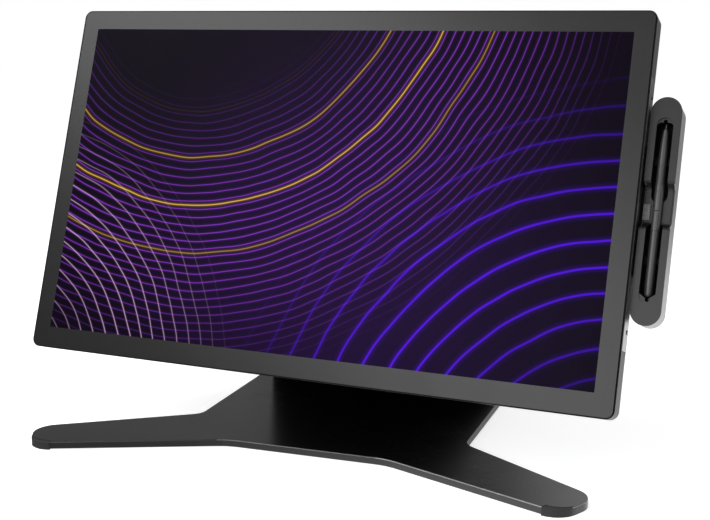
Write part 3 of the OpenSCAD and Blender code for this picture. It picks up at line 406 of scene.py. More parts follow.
@dataclass(frozen=True)
class BrushedMetal(Finish):
    """Bare metal with fine brush lines along the screen's height."""

    name: str
    colour: Colour
    roughness: float
    axes: PanelAxes
    line: float = 0.25 * MM
    run: float = 40 * MM
    relief: float = 0.004 * MM
    groove: float = 0.86
    drift_cells: float = 0.02
    spread: float = 0.15

    def material(self) -> Material:
        """Builds the metal's material.

        Returns:
            The material.
        """
        material, tree, shader = self.start()
        place = tree.add("ShaderNodeTexCoord").outputs["Object"]
        ends = {"Vector": place, "Location": self.axes.origin, "Rotation": self.axes.matrix().to_euler(),
                "Scale": (self.line, self.run, self.line)}
        turned = tree.add("ShaderNodeMapping", ends, vector_type="TEXTURE")
        lines = tree.effect(Grain(), Vector=turned.outputs[0], Cells=1.0, Drift_Cells=self.drift_cells)
        dark = scaled(self.colour, self.groove)
        tree.feed(shader["Base Color"], tree.blend(lines["Height"], dark, self.colour))
        tree.feed(shader["Roughness"], self.uneven(tree, lines["Height"]))
        self.emboss(tree, shader, lines["Height"], self.relief)
        shader["Metallic"].default_value = 1.0
        return material


@dataclass(frozen=True)
class RingSet:
    """One family of rings in the screen's picture, in millimetres on the screen."""

    colour: Colour
    centre: tuple[float, float]
    pitch: float
    width: float
    near: float
    far: float


@dataclass(frozen=True)
class ScreenPicture(Finish):
    """The lit screen: thin glowing ripple rings on a dark ground, in millimetres on the screen."""

    name: str
    ground: Colour
    haze: Colour
    haze_centre: tuple[float, float]
    haze_reach: float
    rings: tuple[RingSet, ...]
    wobble: float = 7.0
    wobble_size: float = 120.0
    specular: float = 0.02
    roughness: float = 0.4
    spread: float = 0.1
    cells: float = 4.0
    drift_cells: float = 0.02
    unlit: Span = (0.0005, 0.0015)

    def material(self) -> Material:
        """Builds the picture's material, read from the plate's own map in millimetres.

        Returns:
            The material.
        """
        material, tree, shader = self.start()
        flat = tree.add("ShaderNodeUVMap", uv_map=Screen.MAP).outputs["UV"]
        drift = tree.add("ShaderNodeTexNoise", {"Vector": flat, "Scale": 1 / self.wobble_size})
        reach = (2 * self.wobble, 2 * self.wobble, 0.0)
        bend = tree.add("ShaderNodeVectorMath", {0: drift.outputs["Color"], 1: reach, 2: flat},
                        operation="MULTIPLY_ADD")
        away = tree.distance(flat, (*self.haze_centre, 0.0))
        mist = tree.ramp(away, (0.0, self.haze_reach), (1.0, 0.0))
        picture = tree.blend(mist, self.ground, self.haze)
        for ring in self.rings:
            mask = tree.effect(Ripple(), Vector=bend.outputs[0], Centre=(*ring.centre, 0.0), Pitch=ring.pitch,
                               Width=ring.width, Near=ring.near, Far=ring.far)["Ring"]
            picture = tree.blend(mask, picture, ring.colour, "ADD")
        tree.feed(shader["Emission Color"], picture)
        shader["Emission Strength"].default_value = 1.0
        grain = tree.effect(Grain(), Vector=flat, Cells=self.cells, Drift_Cells=self.drift_cells)
        tree.feed(shader["Roughness"], self.uneven(tree, grain["Height"]))
        tree.feed(shader["Base Color"], tree.blend(grain["Tone"], *map(grey, self.unlit)))
        shader["Specular IOR Level"].default_value = self.specular
        return material


def linked(name: str, mesh: Mesh, material: Material) -> Object:
    """Puts a mesh into the scene as an object with one material.

    Args:
        name: The object's name.
        mesh: Its mesh, already in place.
        material: Its material.

    Returns:
        The object.
    """
    mesh.materials.clear()
    mesh.materials.append(material)
    piece = bpy.data.objects.new(name, mesh)
    bpy.context.scene.collection.objects.link(piece)
    return piece


def settle(piece: Object, body: str, slot: str, *nodes: str) -> None:
    """Ties a piece to its body, and hides the nodes that it stands for.

    Args:
        piece: The finished piece.
        body: The body that it moves with.
        slot: Not used.
        nodes: The nodes that it replaces.
    """
    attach(piece, body)
    if nodes:
        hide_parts(*nodes)
    log.info("%s on %s, %d faces", piece.name, body, len(piece.data.polygons))


def softly_shaded(mesh: Mesh) -> None:
    """Shades a mesh smooth, apart from its sharp edges.

    Args:
        mesh: The mesh.
    """
    carried = mesh.attributes.get("custom_normal")
    if carried is not None:
        mesh.attributes.remove(carried)
    mesh.shade_smooth()
    mesh.set_sharp_from_angle(angle=SMOOTH_ANGLE)


def merged(node: str) -> BMesh:
    """A node's mesh with its loose triangles merged into whole faces.

    Args:
        node: The node's name.

    Returns:
        The merged mesh.
    """
    work = bmesh.new()
    work.from_mesh(frame["nodes"][node].data)
    bmesh.ops.remove_doubles(work, verts=work.verts, dist=MERGE_DISTANCE)
    bmesh.ops.dissolve_limit(work, angle_limit=FLAT_ANGLE, verts=work.verts, edges=work.edges)
    return work


def round_off(work: BMesh, edges: list[BMEdge], width: float) -> None:
    """Rounds edges of a working mesh off by a width."""
    bmesh.ops.bevel(work, geom=edges, offset=width, offset_type="OFFSET", segments=ROUND_STEPS,
                    profile=ROUND_PROFILE, affect="EDGES", clamp_overlap=False)


def plain_mesh(name: str, work: BMesh) -> Mesh:
    """Turns a working mesh into a plain one.

    Args:
        name: The plain mesh's name.
        work: The working mesh, which is freed.

    Returns:
        The plain mesh.
    """
    mesh = bpy.data.meshes.new(name)
    work.to_mesh(mesh)
    work.free()
    return mesh


@dataclass(frozen=True)
class EasedPart:
    """A node's shape with its sharp outward edges rounded off."""

    node: str
    edge: float
    inlay: str = ""
    least: float = 0.05 * MM
    shrink: float = 0.7
    inlay_room: float = 0.6 * MM

    def beside_inlay(self, inlay: BVHTree | None, edge: BMEdge) -> bool:
        """Whether an edge runs along the part that is let into this one.

        Args:
            inlay: The faces of that part, or None.
            edge: The edge.

        Returns:
            True for an edge of the pocket that holds the part.
        """
        if inlay is None:
            return False
        middle = (edge.verts[0].co + edge.verts[1].co) / 2
        return inlay.find_nearest(middle)[3] < self.inlay_room

    def rounded(self, width: float) -> BMesh:
        """Rounds the sharp outward edges.

        Args:
            width: How far the rounding reaches from an edge.

        Returns:
            The rounded mesh.
        """
        work = merged(self.node)
        inlay = None
        if self.inlay:
            other = merged(self.inlay)
            inlay = BVHTree.FromBMesh(other)
            other.free()
        sharp = [edge for edge in work.edges if edge.is_manifold and edge.is_convex
                 and edge.calc_face_angle() > SHARP_ANGLE and not self.beside_inlay(inlay, edge)]
        round_off(work, sharp, width)
        return work

    def crosses(self, work: BMesh) -> bool:
        """Whether faces of a mesh run through each other.

        Args:
            work: The mesh.

        Returns:
            True where two faces without a shared corner meet.
        """
        work.faces.ensure_lookup_table()
        faces = BVHTree.FromBMesh(work)
        for first, second in faces.overlap(faces):
            if first < second and not set(work.faces[first].verts) & set(work.faces[second].verts):
                return True
        return False

    def build(self, material: Material) -> Object:
        """Rounds a copy of the node as wide as its smallest corners allow.

        Args:
            material: The finish of the copy.

        Returns:
            The copy, in place.
        """
        width = self.edge
        work = self.rounded(width)
        while width > self.least and self.crosses(work):
            work.free()
            width *= self.shrink
            work = self.rounded(width)
        log.info("%s has its edges rounded by %.2f mm", self.node, width / MM)
        mesh = plain_mesh(f"{self.node}_eased", work)
        softly_shaded(mesh)
        piece = linked(mesh.name, mesh, material)
        piece.modifiers.new("even_normals", "WEIGHTED_NORMAL").keep_sharp = True
        return piece


@dataclass(frozen=True)
class Screen:
    """The lit picture on the front of the glass."""

    MAP = "screen_mm"
    CORNERS = ((1, 1), (-1, 1), (-1, -1), (1, -1))

    width: float = 596 * MM
    height: float = 335.5 * MM
    lift: float = 0.75 * MM
    front: float = 0.04 * MM
    back: float = 0.01 * MM
    corner: float = 0.8 * MM
    corner_steps: int = 6

    def outline(self) -> list[tuple[float, float]]:
        """Corner points of the picture, with its small round corners.

        Returns:
            The points as (u, v), going round once.
        """
        points = []
        for turn, (side, rise) in enumerate(self.CORNERS):
            u, v = side * (self.width / 2 - self.corner), rise * (self.height / 2 - self.corner)
            for step in range(self.corner_steps + 1):
                angle = math.pi / 2 * (turn + step / self.corner_steps)
                points.append((u + self.corner * math.cos(angle), v + self.corner * math.sin(angle)))
        return points

    def build(self, axes: PanelAxes, material: Material) -> None:
        """Builds the picture's thin plate with its own map in millimetres.

        Args:
            axes: The screen's axes.
            material: The picture's material.
        """
        work = bmesh.new()
        points = self.outline()
        front, back = [[work.verts.new((u, v + self.lift, height)) for u, v in points]
                       for height in (self.front, self.back)]
        work.faces.new(front)
        work.faces.new(back[::-1])
        for index in range(len(points)):
            after = (index + 1) % len(points)
            work.faces.new((back[index], back[after], front[after], front[index]))
        flat = work.loops.layers.uv.new(self.MAP)
        for face in work.faces:
            for loop in face.loops:
                loop[flat].uv = (loop.vert.co.x / MM, loop.vert.co.y / MM)
        mesh = plain_mesh("screen_picture", work)
        mesh.transform(axes.matrix())
        settle(linked(mesh.name, mesh, material), "panel", "lcd")


class GrowthTree(Tree):
    """A Geometry Nodes tree with named inputs, which ends in one plain mesh of one material."""

    def __init__(self, name: str, sizes: list[str], counts: list[str]) -> None:
        """Starts the tree.

        Args:
            name: The tree's name.
            sizes: Names of its length inputs.
            counts: Names of its whole-number inputs.
        """
        values = dict.fromkeys(sizes, FLOAT) | dict.fromkeys(counts, "NodeSocketInt")
        inputs = {"Geometry": GEOMETRY} | values | {"Material": "NodeSocketMaterial"}
        super().__init__(new_group(name, "GeometryNodeTree", inputs, {"Geometry": GEOMETRY}))
        self.given = self.add("NodeGroupInput").outputs

    def vector(self, x: Feed = 0.0, y: Feed = 0.0, z: Feed = 0.0) -> Socket:
        """A vector of three numbers."""
        return self.add("ShaderNodeCombineXYZ", {0: x, 1: y, 2: z}).outputs[0]

    def midway(self, first: Feed, second: Feed) -> Socket:
        """The middle between two depths below the origin, as a move along z."""
        return self.vector(z=self.times(self.math("ADD", first, second), -0.5))

    def moved(self, shape: Feed, move: Feed, turn: Point = ORIGIN) -> Socket:
        """A shape moved, and turned about each axis."""
        ends = {"Geometry": shape, "Translation": move, "Rotation": turn}
        return self.add("GeometryNodeTransform", ends).outputs[0]

    def rod(self, radius: Feed, length: Feed, sides: int) -> Socket:
        """A rod along z about the origin."""
        ends = {"Vertices": sides, "Radius": radius, "Depth": length}
        return self.add("GeometryNodeMeshCylinder", ends).outputs["Mesh"]

    def brick(self, size: Feed) -> Socket:
        """A block about the origin."""
        return self.add("GeometryNodeMeshCube", {"Size": size}).outputs["Mesh"]

    def oblong(self, width: Feed, height: Feed) -> Socket:
        """A four-cornered loop about the origin."""
        ends = {"Width": width, "Height": height}
        return self.add("GeometryNodeCurvePrimitiveQuadrilateral", ends).outputs[0]

    def row(self, count: Feed, step: Feed, start: Feed = ORIGIN) -> Socket:
        """A row of points."""
        ends = {"Count": count, "Start Location": start, "Offset": step}
        return self.add("GeometryNodeMeshLine", ends).outputs[0]

    def joined(self, *shapes: Feed) -> Socket:
        """Several shapes as one.

        Args:
            shapes: The shapes.

        Returns:
            The joined shape.
        """
        node = self.add("GeometryNodeJoinGeometry")
        for shape in shapes:
            self.feed(node.inputs[0], shape)
        return node.outputs[0]

    def cut(self, shape: Feed, cutter: Feed) -> Socket:
        """A shape less a cutter."""
        return self.add("GeometryNodeMeshBoolean", {0: shape, 1: cutter}, operation="DIFFERENCE").outputs[0]

    def repeated(self, points: Feed, shape: Feed, turn: Feed = ORIGIN) -> Socket:
        """A shape placed on each point, and turned there."""
        ends = {"Points": points, "Instance": shape, "Rotation": turn}
        return self.add("GeometryNodeInstanceOnPoints", ends).outputs[0]

    def end(self, shape: Feed) -> None:
        """Makes the copies real, gives them their material and ends the tree.

        Args:
            shape: What the tree has grown.
        """
        real = self.add("GeometryNodeRealizeInstances", {0: shape}).outputs[0]
        dressed = self.add("GeometryNodeSetMaterial", {"Geometry": real, "Material": self.given["Material"]})
        self.add("NodeGroupOutput", {0: dressed.outputs[0]})

    def grown(self, name: str, seed: Mesh, material: Material, values: dict[str, float]) -> Object:
        """Runs the tree on a seed mesh and keeps what it makes as a plain mesh.

        Args:
            name: The new piece's name.
            seed: The mesh that the tree starts from.
            material: The piece's material.
            values: The tree's inputs, by name.

        Returns:
            The new piece.
        """
        piece = bpy.data.objects.new(name, seed)
        bpy.context.scene.collection.objects.link(piece)
        modifier = piece.modifiers.new("growth", "NODES")
        modifier.node_group = self.tree
        given = values | {"Material": material}
        for item in self.tree.interface.items_tree:
            if item.in_out == "INPUT" and item.name in given:
                modifier[item.identifier] = given[item.name]
        graph = bpy.context.evaluated_depsgraph_get()
        mesh = bpy.data.meshes.new_from_object(piece.evaluated_get(graph))
        piece.modifiers.remove(modifier)
        piece.data = mesh
        mesh.name = name
        softly_shaded(mesh)
        return piece


class Recess(Enum):
    """The drive that a screw head has."""

    HEX = "hex"
    CROSS = "cross"


@dataclass(frozen=True)
class ScrewSet:
    """One group of like screws, with chamfered heads and a drive recess."""

    AXIS = "screw_axis"
    HEAD_SIDES = 40
    SHANK_SIDES = 20
    HEX_SIDES = 6
    RIM_SHARE = 0.95
    BELOW_HEAD = 1.2
    CHAMFER_SHARE = 0.18
    DRIVE_SHARE = 0.5
    DRIVE_DEPTH = 1.1
    CROSS_WIDTH = 0.42
    CROSS_LENGTH = 2.0

    node: str
    body: str
    recess: Recess

    def islands(self, work: BMesh) -> list[set[BMVert]]:
        """Splits a mesh into its separate bodies.

        Args:
            work: The mesh.

        Returns:
            The corners of each body, in the order of their lowest index.
        """
        found = []
        waiting = set(work.verts)
        while waiting:
            group = set()
            reached = [min(waiting, key=lambda vert: vert.index)]
            while reached:
                vert = reached.pop()
                if vert not in group:
                    group.add(vert)
                    reached.extend(edge.other_vert(vert) for edge in vert.link_edges)
            waiting -= group
            found.append(group)
        return found

    def measure(self) -> tuple[list[Vector], list[Vector], dict[str, float]]:
        """Reads the screws' places and sizes from their node.

        Returns:
            Middles of the head tops, outward axes, and the sizes of a screw by name.
        """
        work = merged(self.node)
        tops, axes = [], []
        for group in self.islands(work):
            top = max({face for vert in group for face in vert.link_faces}, key=lambda face: face.calc_area())
            middle, axis = top.calc_center_bounds(), top.normal.copy()
            tops.append(middle)
            axes.append(axis)
            head = max((vert.co - middle).length for vert in top.verts)
            depths = [(middle - vert.co).dot(axis) for vert in group]
            reach = [(vert.co - middle - (vert.co - middle).dot(axis) * axis).length for vert in group]
            thick = max(deep for deep, out in zip(depths, reach) if out > self.RIM_SHARE * head)
            shank = max(out for deep, out in zip(depths, reach) if deep > self.BELOW_HEAD * thick)
            length = max(depths)
        work.free()
        return tops, axes, {"Head": head, "Thick": thick, "Shank": shank, "Length": length,
                            "Chamfer": self.CHAMFER_SHARE * thick, "Drive": self.DRIVE_SHARE * head}

    def tree(self, sizes: list[str]) -> GrowthTree:
        """Builds the screw's tree.

        Args:
            sizes: Names of the screw's sizes.

        Returns:
            The tree, which places one screw on each point.
        """
        tree = GrowthTree(f"{self.node}_growth", sizes, [])
        given = tree.given
        head, thick, chamfer, drive = given["Head"], given["Thick"], given["Chamfer"], given["Drive"]
        cone = tree.add("GeometryNodeMeshCone", {"Vertices": self.HEAD_SIDES, "Radius Bottom": head,
                                                 "Radius Top": tree.math("SUBTRACT", head, chamfer),
                                                 "Depth": chamfer})
        rim = tree.moved(cone.outputs["Mesh"], tree.vector(z=tree.times(chamfer, -1.0)))
        drum = tree.rod(head, tree.math("SUBTRACT", thick, chamfer), self.HEAD_SIDES)
        whole = tree.joined(rim, tree.moved(drum, tree.midway(thick, chamfer)))
        deep = tree.times(thick, self.DRIVE_DEPTH)
        if self.recess is Recess.HEX:
            tool = tree.rod(drive, deep, self.HEX_SIDES)
        else:
            narrow, wide = tree.times(drive, self.CROSS_WIDTH), tree.times(drive, self.CROSS_LENGTH)
            bars = [tree.brick(tree.vector(*sides, deep)) for sides in ((narrow, wide), (wide, narrow))]
            tool = tree.joined(*bars)
        shank = tree.rod(given["Shank"], tree.math("SUBTRACT", given["Length"], thick), self.SHANK_SIDES)
        screw = tree.joined(tree.cut(whole, tool), tree.moved(shank, tree.midway(given["Length"], thick)))
        axis = tree.add("GeometryNodeInputNamedAttribute", data_type="FLOAT_VECTOR")
        axis.inputs["Name"].default_value = self.AXIS
        turn = tree.add("FunctionNodeAlignRotationToVector", {"Vector": axis.outputs[0]}, axis="Z")
        tree.end(tree.repeated(given["Geometry"], screw, turn.outputs[0]))
        return tree

    def build(self, material: Material, slot: str) -> None:
        """Builds the screws where their node has them.

        Args:
            material: Their finish.
            slot: The record's material slot.
        """
        tops, axes, sizes = self.measure()
        seed = bpy.data.meshes.new(f"{self.node}_points")
        seed.from_pydata(tops, [], [])
        lines = seed.attributes.new(self.AXIS, "FLOAT_VECTOR", "POINT")
        lines.data.foreach_set("vector", [part for axis in axes for part in axis])
        piece = self.tree(list(sizes)).grown(f"{self.node}_set", seed, material, sizes)
        settle(piece, self.body, slot, self.node)


@dataclass(frozen=True)
class TraySlider:
    """The ribbed slider beside the pen, with rounded ribs."""

    RIB_SIDES = 20
    RIB_SHARE = 0.25

    ribs: int = 9
    plate: float = 1.6 * MM
    rib_rise: float = 0.6 * MM
    tongue: float = 1.5 * MM
    tongue_len: float = 5.5 * MM
    tongue_end: float = 1.0 * MM
    tongue_in: float = 3.65 * MM
    edge: float = 0.25 * MM

    def tree(self) -> GrowthTree:
        """Builds the tree that sets rounded ribs on the slider's plate.

        Returns:
            The tree.
        """
        tree = GrowthTree("slider_growth", ["First", "Step", "Radius", "Length", "Across", "Top"], ["Ribs"])
        given = tree.given
        start = tree.vector(given["Across"], given["First"], given["Top"])
        row = tree.row(given["Ribs"], tree.vector(y=given["Step"]), start)
        rod = tree.rod(given["Radius"], given["Length"], self.RIB_SIDES)
        rib = tree.moved(rod, ORIGIN, (0.0, math.pi / 2, 0.0))
        tree.end(tree.joined(given["Geometry"], tree.repeated(row, rib)))
        return tree

    def plate_mesh(self, low: Vector, high: Vector) -> Mesh:
        """The slider's plate and the tongue under it.

        Args:
            low: Lowest corner of the slider on the screen's axes.
            high: Highest corner.

        Returns:
            The mesh, on the screen's axes.
        """
        top = high.z - self.rib_rise
        under = top - self.plate
        inner = Vector((high.x - self.tongue_in, low.y + self.tongue_end, low.z))
        outer = Vector((inner.x + self.tongue, inner.y + self.tongue_len, under))
        blocks = [(Vector((low.x, low.y, under)), Vector((high.x, high.y, top))), (inner, outer)]
        work = bmesh.new()
        for first, last in blocks:
            size = Matrix.Diagonal((*(last - first), 1.0))
            bmesh.ops.create_cube(work, size=1.0, matrix=Matrix.Translation((first + last) / 2) @ size)
        round_off(work, work.edges[:], self.edge)
        return plain_mesh("slider_plate", work)

    def build(self, axes: PanelAxes, material: Material) -> None:
        """Builds the slider where its node is.

        Args:
            axes: The screen's axes.
            material: Its finish.
        """
        low, high = axes.extent(frame["nodes"]["tray_latch"])
        step = (high.y - low.y) / self.ribs
        radius = step * self.RIB_SHARE
        values = {"First": low.y + step / 2, "Step": step, "Radius": radius, "Top": high.z - radius,
                  "Length": high.x - low.x - self.edge * 2, "Across": (low.x + high.x) / 2, "Ribs": self.ribs}
        piece = self.tree().grown("tray_slider", self.plate_mesh(low, high), material, values)
        piece.data.transform(axes.matrix())
        settle(piece, "tray_latch", "key_plastic", "tray_latch")


@dataclass(frozen=True)
class SocketShells:
    """Metal shells and tongues in the row of sockets at the back."""

    CORNER_STEPS = 8
    CORNER_SHARE = 0.45
    TONGUE_SHARES = (0.68, 0.22, 0.85)
    TONGUE_BACK = 0.075

    count: int = 4
    pitch: float = 16 * MM
    width: float = 9 * MM
    height: float = 3.3 * MM
    depth: float = 7 * MM
    wall: float = 0.3 * MM
    play: float = 0.05 * MM

    def tree(self) -> GrowthTree:
        """Builds the tree that repeats one shell and its tongue along the row.

        Returns:
            The tree.
        """
        tree = GrowthTree("socket_growth", ["Pitch", "Width", "Height", "Depth", "Wall"], ["Count"])
        given = tree.given
        corner = tree.times(given["Height"], self.CORNER_SHARE)
        rounded = tree.add("GeometryNodeFilletCurve", mode="POLY")
        rounded.inputs["Count"].default_value = self.CORNER_STEPS
        tree.feed(rounded.inputs["Curve"], tree.oblong(given["Width"], given["Height"]))
        tree.feed(rounded.inputs["Radius"], corner)
        section = tree.oblong(given["Wall"], given["Depth"])
        shell = tree.add("GeometryNodeCurveToMesh", {"Curve": rounded.outputs[0], "Profile Curve": section})
        sides = [given[name] for name in ("Width", "Height", "Depth")]
        tongue = tree.brick(tree.vector(*map(tree.times, sides, self.TONGUE_SHARES)))
        back = tree.moved(tongue, tree.vector(z=tree.times(given["Depth"], self.TONGUE_BACK)))
        row = tree.row(given["Count"], tree.vector(given["Pitch"]))
        tree.end(tree.repeated(row, tree.joined(shell.outputs[0], back)))
        return tree

    def build(self, axes: PanelAxes, material: Material) -> None:
        """Builds the shells inside the socket block.

        Args:
            axes: The screen's axes.
            material: Their finish.
        """
        low, high = axes.extent(frame["nodes"]["port_block"])
        values = {"Pitch": self.pitch, "Width": self.width - self.wall - 2 * self.play,
                  "Height": self.height - self.wall - 2 * self.play, "Depth": self.depth - 2 * self.play,
                  "Wall": self.wall, "Count": self.count}
        piece = self.tree().grown("socket_shells", bpy.data.meshes.new("socket_seed"), material, values)
        first = (low.x + high.x) / 2 - (self.count - 1) / 2 * self.pitch
        piece.data.transform(Matrix.Translation((first, (low.y + high.y) / 2, low.z + self.depth / 2)))
        piece.data.transform(axes.matrix())
        settle(piece, "panel", "sheet_metal")


@dataclass(frozen=True)
class Viewpoint:
    """The camera, at the photograph's place."""

    place: Point = (0.4418, -1.2032, 0.4363)
    forward: Point = (-0.3272, 0.9247, -0.1947)
    lens: float = 62.66
    sensor: float = 36.0

    def build(self) -> None:
        """Sets the camera up."""
        data = bpy.data.cameras.new("camera")
        data.lens = self.lens
        data.sensor_width = self.sensor
        data.sensor_fit = "HORIZONTAL"
        camera = bpy.data.objects.new("camera", data)
        camera.location = self.place
        camera.rotation_euler = Vector(self.forward).to_track_quat("-Z", "Y").to_euler()
        bpy.context.scene.collection.objects.link(camera)
        bpy.context.scene.camera = camera

    def mirrored(self, axes: PanelAxes, u: float, v: float, reach: float) -> Vector:
        """Where the line of sight to a point of the glass goes after the glass mirrors it.

        Args:
            axes: The screen's axes.
            u: The point's place across the glass.
            v: The point's place up the glass.
            reach: How far the mirrored line runs.

        Returns:
            The mirrored line's end.
        """
        spot = axes.point(u, v, 0.0)
        sight = (spot - Vector(self.place)).normalized()
        return spot + reach * sight.reflect(axes.n)


@dataclass(frozen=True)
class Softbox:
    """A soft area lamp."""

    name: str
    place: Vector
    target: Vector
    along: Vector
    size: Span
    power: float

    def build(self) -> None:
        """Hangs the lamp, turned to its target, with its long side along the given line."""
        data = bpy.data.lights.new(self.name, "AREA")
        data.shape = "RECTANGLE"
        data.size, data.size_y = self.size
        data.energy = self.power
        lamp = bpy.data.objects.new(self.name, data)
        back = (self.place - self.target).normalized()
        across = (self.along - self.along.dot(back) * back).normalized()
        turn = Matrix((across, back.cross(across), back)).transposed().to_4x4()
        lamp.matrix_world = Matrix.Translation(self.place) @ turn
        bpy.context.scene.collection.objects.link(lamp)


@dataclass(frozen=True)
class Studio:
    """A pale floor, a white surround and soft lamps.

    The spans are metres on the floor, or parts of a direction in the room. What glossy faces mirror has
    levels of its own: a room that brightens to the right, with a dark gap behind the stand, and a pool of
    floor that is brighter in front on the right.
    """

    FLOOR_CORNERS = ((-1, -1), (1, -1), (1, 1), (-1, 1))

    floor_half: float = 7.0
    floor_tone: float = 0.62
    floor_glow: float = 0.67
    pool: Span = (0.9, 1.7)
    far_floor: float = 0.08
    room_light: float = 0.62
    mirrored_room: Span = (0.33, 1.35)
    mirrored_span: Span = (-0.5, -0.02)
    mirrored_low: float = 0.2
    mirrored_rise: Span = (0.02, 0.26)
    gap_left: Span = (-0.385, -0.33)
    gap_right: Span = (-0.21, -0.14)
    gap_behind: Span = (0.3, 0.6)
    near_floor: Span = (0.8, 2.6)
    near_span: Span = (-0.2, 0.2)
    near_reach: Span = (0.38, 0.6)
    near_front: Span = (-0.1, -0.05)
    strip_reach: float = 1.5
    strip_from: Span = (-0.22, 0.24)
    strip_to: Span = (0.28, -0.19)
    strip_size: Span = (2.1, 0.72)
    strip_power: float = 20.5
    top_place: Point = (-1.0, -0.62, 2.0)
    top_target: Point = (0.0, 0.0, 0.2)
    top_along: Point = (1.0, 0.0, 0.0)
    top_size: Span = (1.6, 0.7)
    top_power: float = 25.0

    def looks(self, tree: Tree) -> tuple[Socket, Socket]:
        """Tells the rays that look at the background.

        Args:
            tree: The tree to add to.

        Returns:
            1 for the rays that look directly or through glass, and 1 for those that a glossy face mirrors.
        """
        path = tree.add("ShaderNodeLightPath").outputs
        direct = tree.math("MAXIMUM", path["Is Camera Ray"], path["Is Transmission Ray"])
        return direct, path["Is Glossy Ray"]

    def build_floor(self) -> None:
        """Lays the floor, white to the eye, with the part's shadow on it."""
        mesh = bpy.data.meshes.new("floor")
        corners = [(x * self.floor_half, y * self.floor_half, 0.0) for x, y in self.FLOOR_CORNERS]
        mesh.from_pydata(corners, [], [range(len(corners))])
        material = bpy.data.materials.new("studio_floor")
        material.use_nodes = True
        material.node_tree.nodes.clear()
        tree = Tree(material.node_tree)
        direct, mirrored = self.looks(tree)
        matte = tree.add("ShaderNodeBsdfDiffuse", {"Color": grey(self.floor_tone)})
        glow = tree.add("ShaderNodeEmission", {"Strength": tree.times(direct, self.floor_glow)})
        both = tree.add("ShaderNodeAddShader", {0: matte.outputs[0], 1: glow.outputs[0]})
        place = tree.add("ShaderNodeTexCoord").outputs["Object"]
        parts = tree.split(place)
        away = tree.distance(place, ORIGIN)
        outer = tree.ramp(away, self.pool, (1.0, self.far_floor), "LINEAR")
        close = tree.ramp(away, self.near_reach, (1.0, 0.0))
        ahead = tree.ramp(parts["Y"], self.near_front, (1.0, 0.0))
        near = tree.ramp(parts["X"], self.near_span, self.near_floor, "LINEAR")
        extra = tree.times(tree.times(close, ahead), tree.math("SUBTRACT", near, 1.0))
        pool = tree.add("ShaderNodeEmission", {"Strength": tree.times(outer, tree.math("ADD", extra, 1.0))})
        chosen = tree.add("ShaderNodeMixShader", {0: mirrored, 1: both.outputs[0], 2: pool.outputs[0]})
        tree.add("ShaderNodeOutputMaterial", {"Surface": chosen.outputs[0]})
        linked("floor", mesh, material)

    def build_room(self) -> None:
        """Sets the surround: white to the eye, softer as light."""
        world = bpy.data.worlds.new("room")
        world.use_nodes = True
        tree = Tree(world.node_tree)
        room = world.node_tree.nodes["Background"].inputs
        room["Color"].default_value = grey(1.0)
        direct, mirrored = self.looks(tree)
        toward = tree.split(tree.add("ShaderNodeTexCoord").outputs["Generated"])
        across = tree.ramp(toward["X"], self.mirrored_span, self.mirrored_room)
        upward = tree.ramp(toward["Z"], self.mirrored_rise, (self.mirrored_low, 1.0))
        left = tree.ramp(toward["X"], self.gap_left, (0.0, 1.0))
        right = tree.ramp(toward["X"], self.gap_right, (1.0, 0.0))
        behind = tree.ramp(toward["Y"], self.gap_behind, (0.0, 1.0))
        gap = tree.times(behind, tree.math("MINIMUM", left, right))
        shaded = tree.times(tree.times(across, upward), tree.math("SUBTRACT", 1.0, gap))
        shown = tree.math("MAXIMUM", direct, tree.times(mirrored, shaded))
        others = tree.math("SUBTRACT", 1.0, tree.math("MAXIMUM", direct, mirrored))
        tree.feed(room["Strength"], tree.math("ADD", shown, tree.times(others, self.room_light)))
        bpy.context.scene.world = world

    def build_lamps(self, axes: PanelAxes, view: Viewpoint) -> None:
        """Hangs the lamps.

        Args:
            axes: The screen's axes.
            view: The camera, whose mirrored lines place the strip over the glass.
        """
        upper = view.mirrored(axes, *self.strip_from, self.strip_reach)
        lower = view.mirrored(axes, *self.strip_to, self.strip_reach)
        strip = Softbox("strip_lamp", (upper + lower) / 2, axes.origin, lower - upper, self.strip_size,
                        self.strip_power)
        strip.build()
        place, target, along = map(Vector, (self.top_place, self.top_target, self.top_along))
        Softbox("top_lamp", place, target, along, self.top_size, self.top_power).build()

    def build(self, axes: PanelAxes, view: Viewpoint) -> None:
        """Builds the floor, the surround and the lamps.

        Args:
            axes: The screen's axes.
            view: The camera.
        """
        self.build_floor()
        self.build_room()
        self.build_lamps(axes, view)


RINGS = (
    RingSet((0.20, 0.03, 0.46, 1.0), (-150.0, 265.0), pitch=8.5, width=0.75, near=150.0, far=470.0),
    RingSet((0.74, 0.42, 0.04, 1.0), (-150.0, 265.0), pitch=51.0, width=0.9, near=170.0, far=380.0),
    RingSet((0.075, 0.004, 0.66, 1.0), (340.0, -280.0), pitch=25.0, width=1.7, near=80.0, far=430.0),
    RingSet((0.55, 0.34, 0.52, 1.0), (-380.0, -230.0), pitch=14.0, width=0.55, near=70.0, far=330.0),
)

PICTURE = ScreenPicture("screen_picture", ground=(0.0026, 0.0004, 0.0058, 1.0),
                        haze=(0.013, 0.002, 0.036, 1.0), haze_centre=(40.0, -70.0), haze_reach=330.0,
                        rings=RINGS)

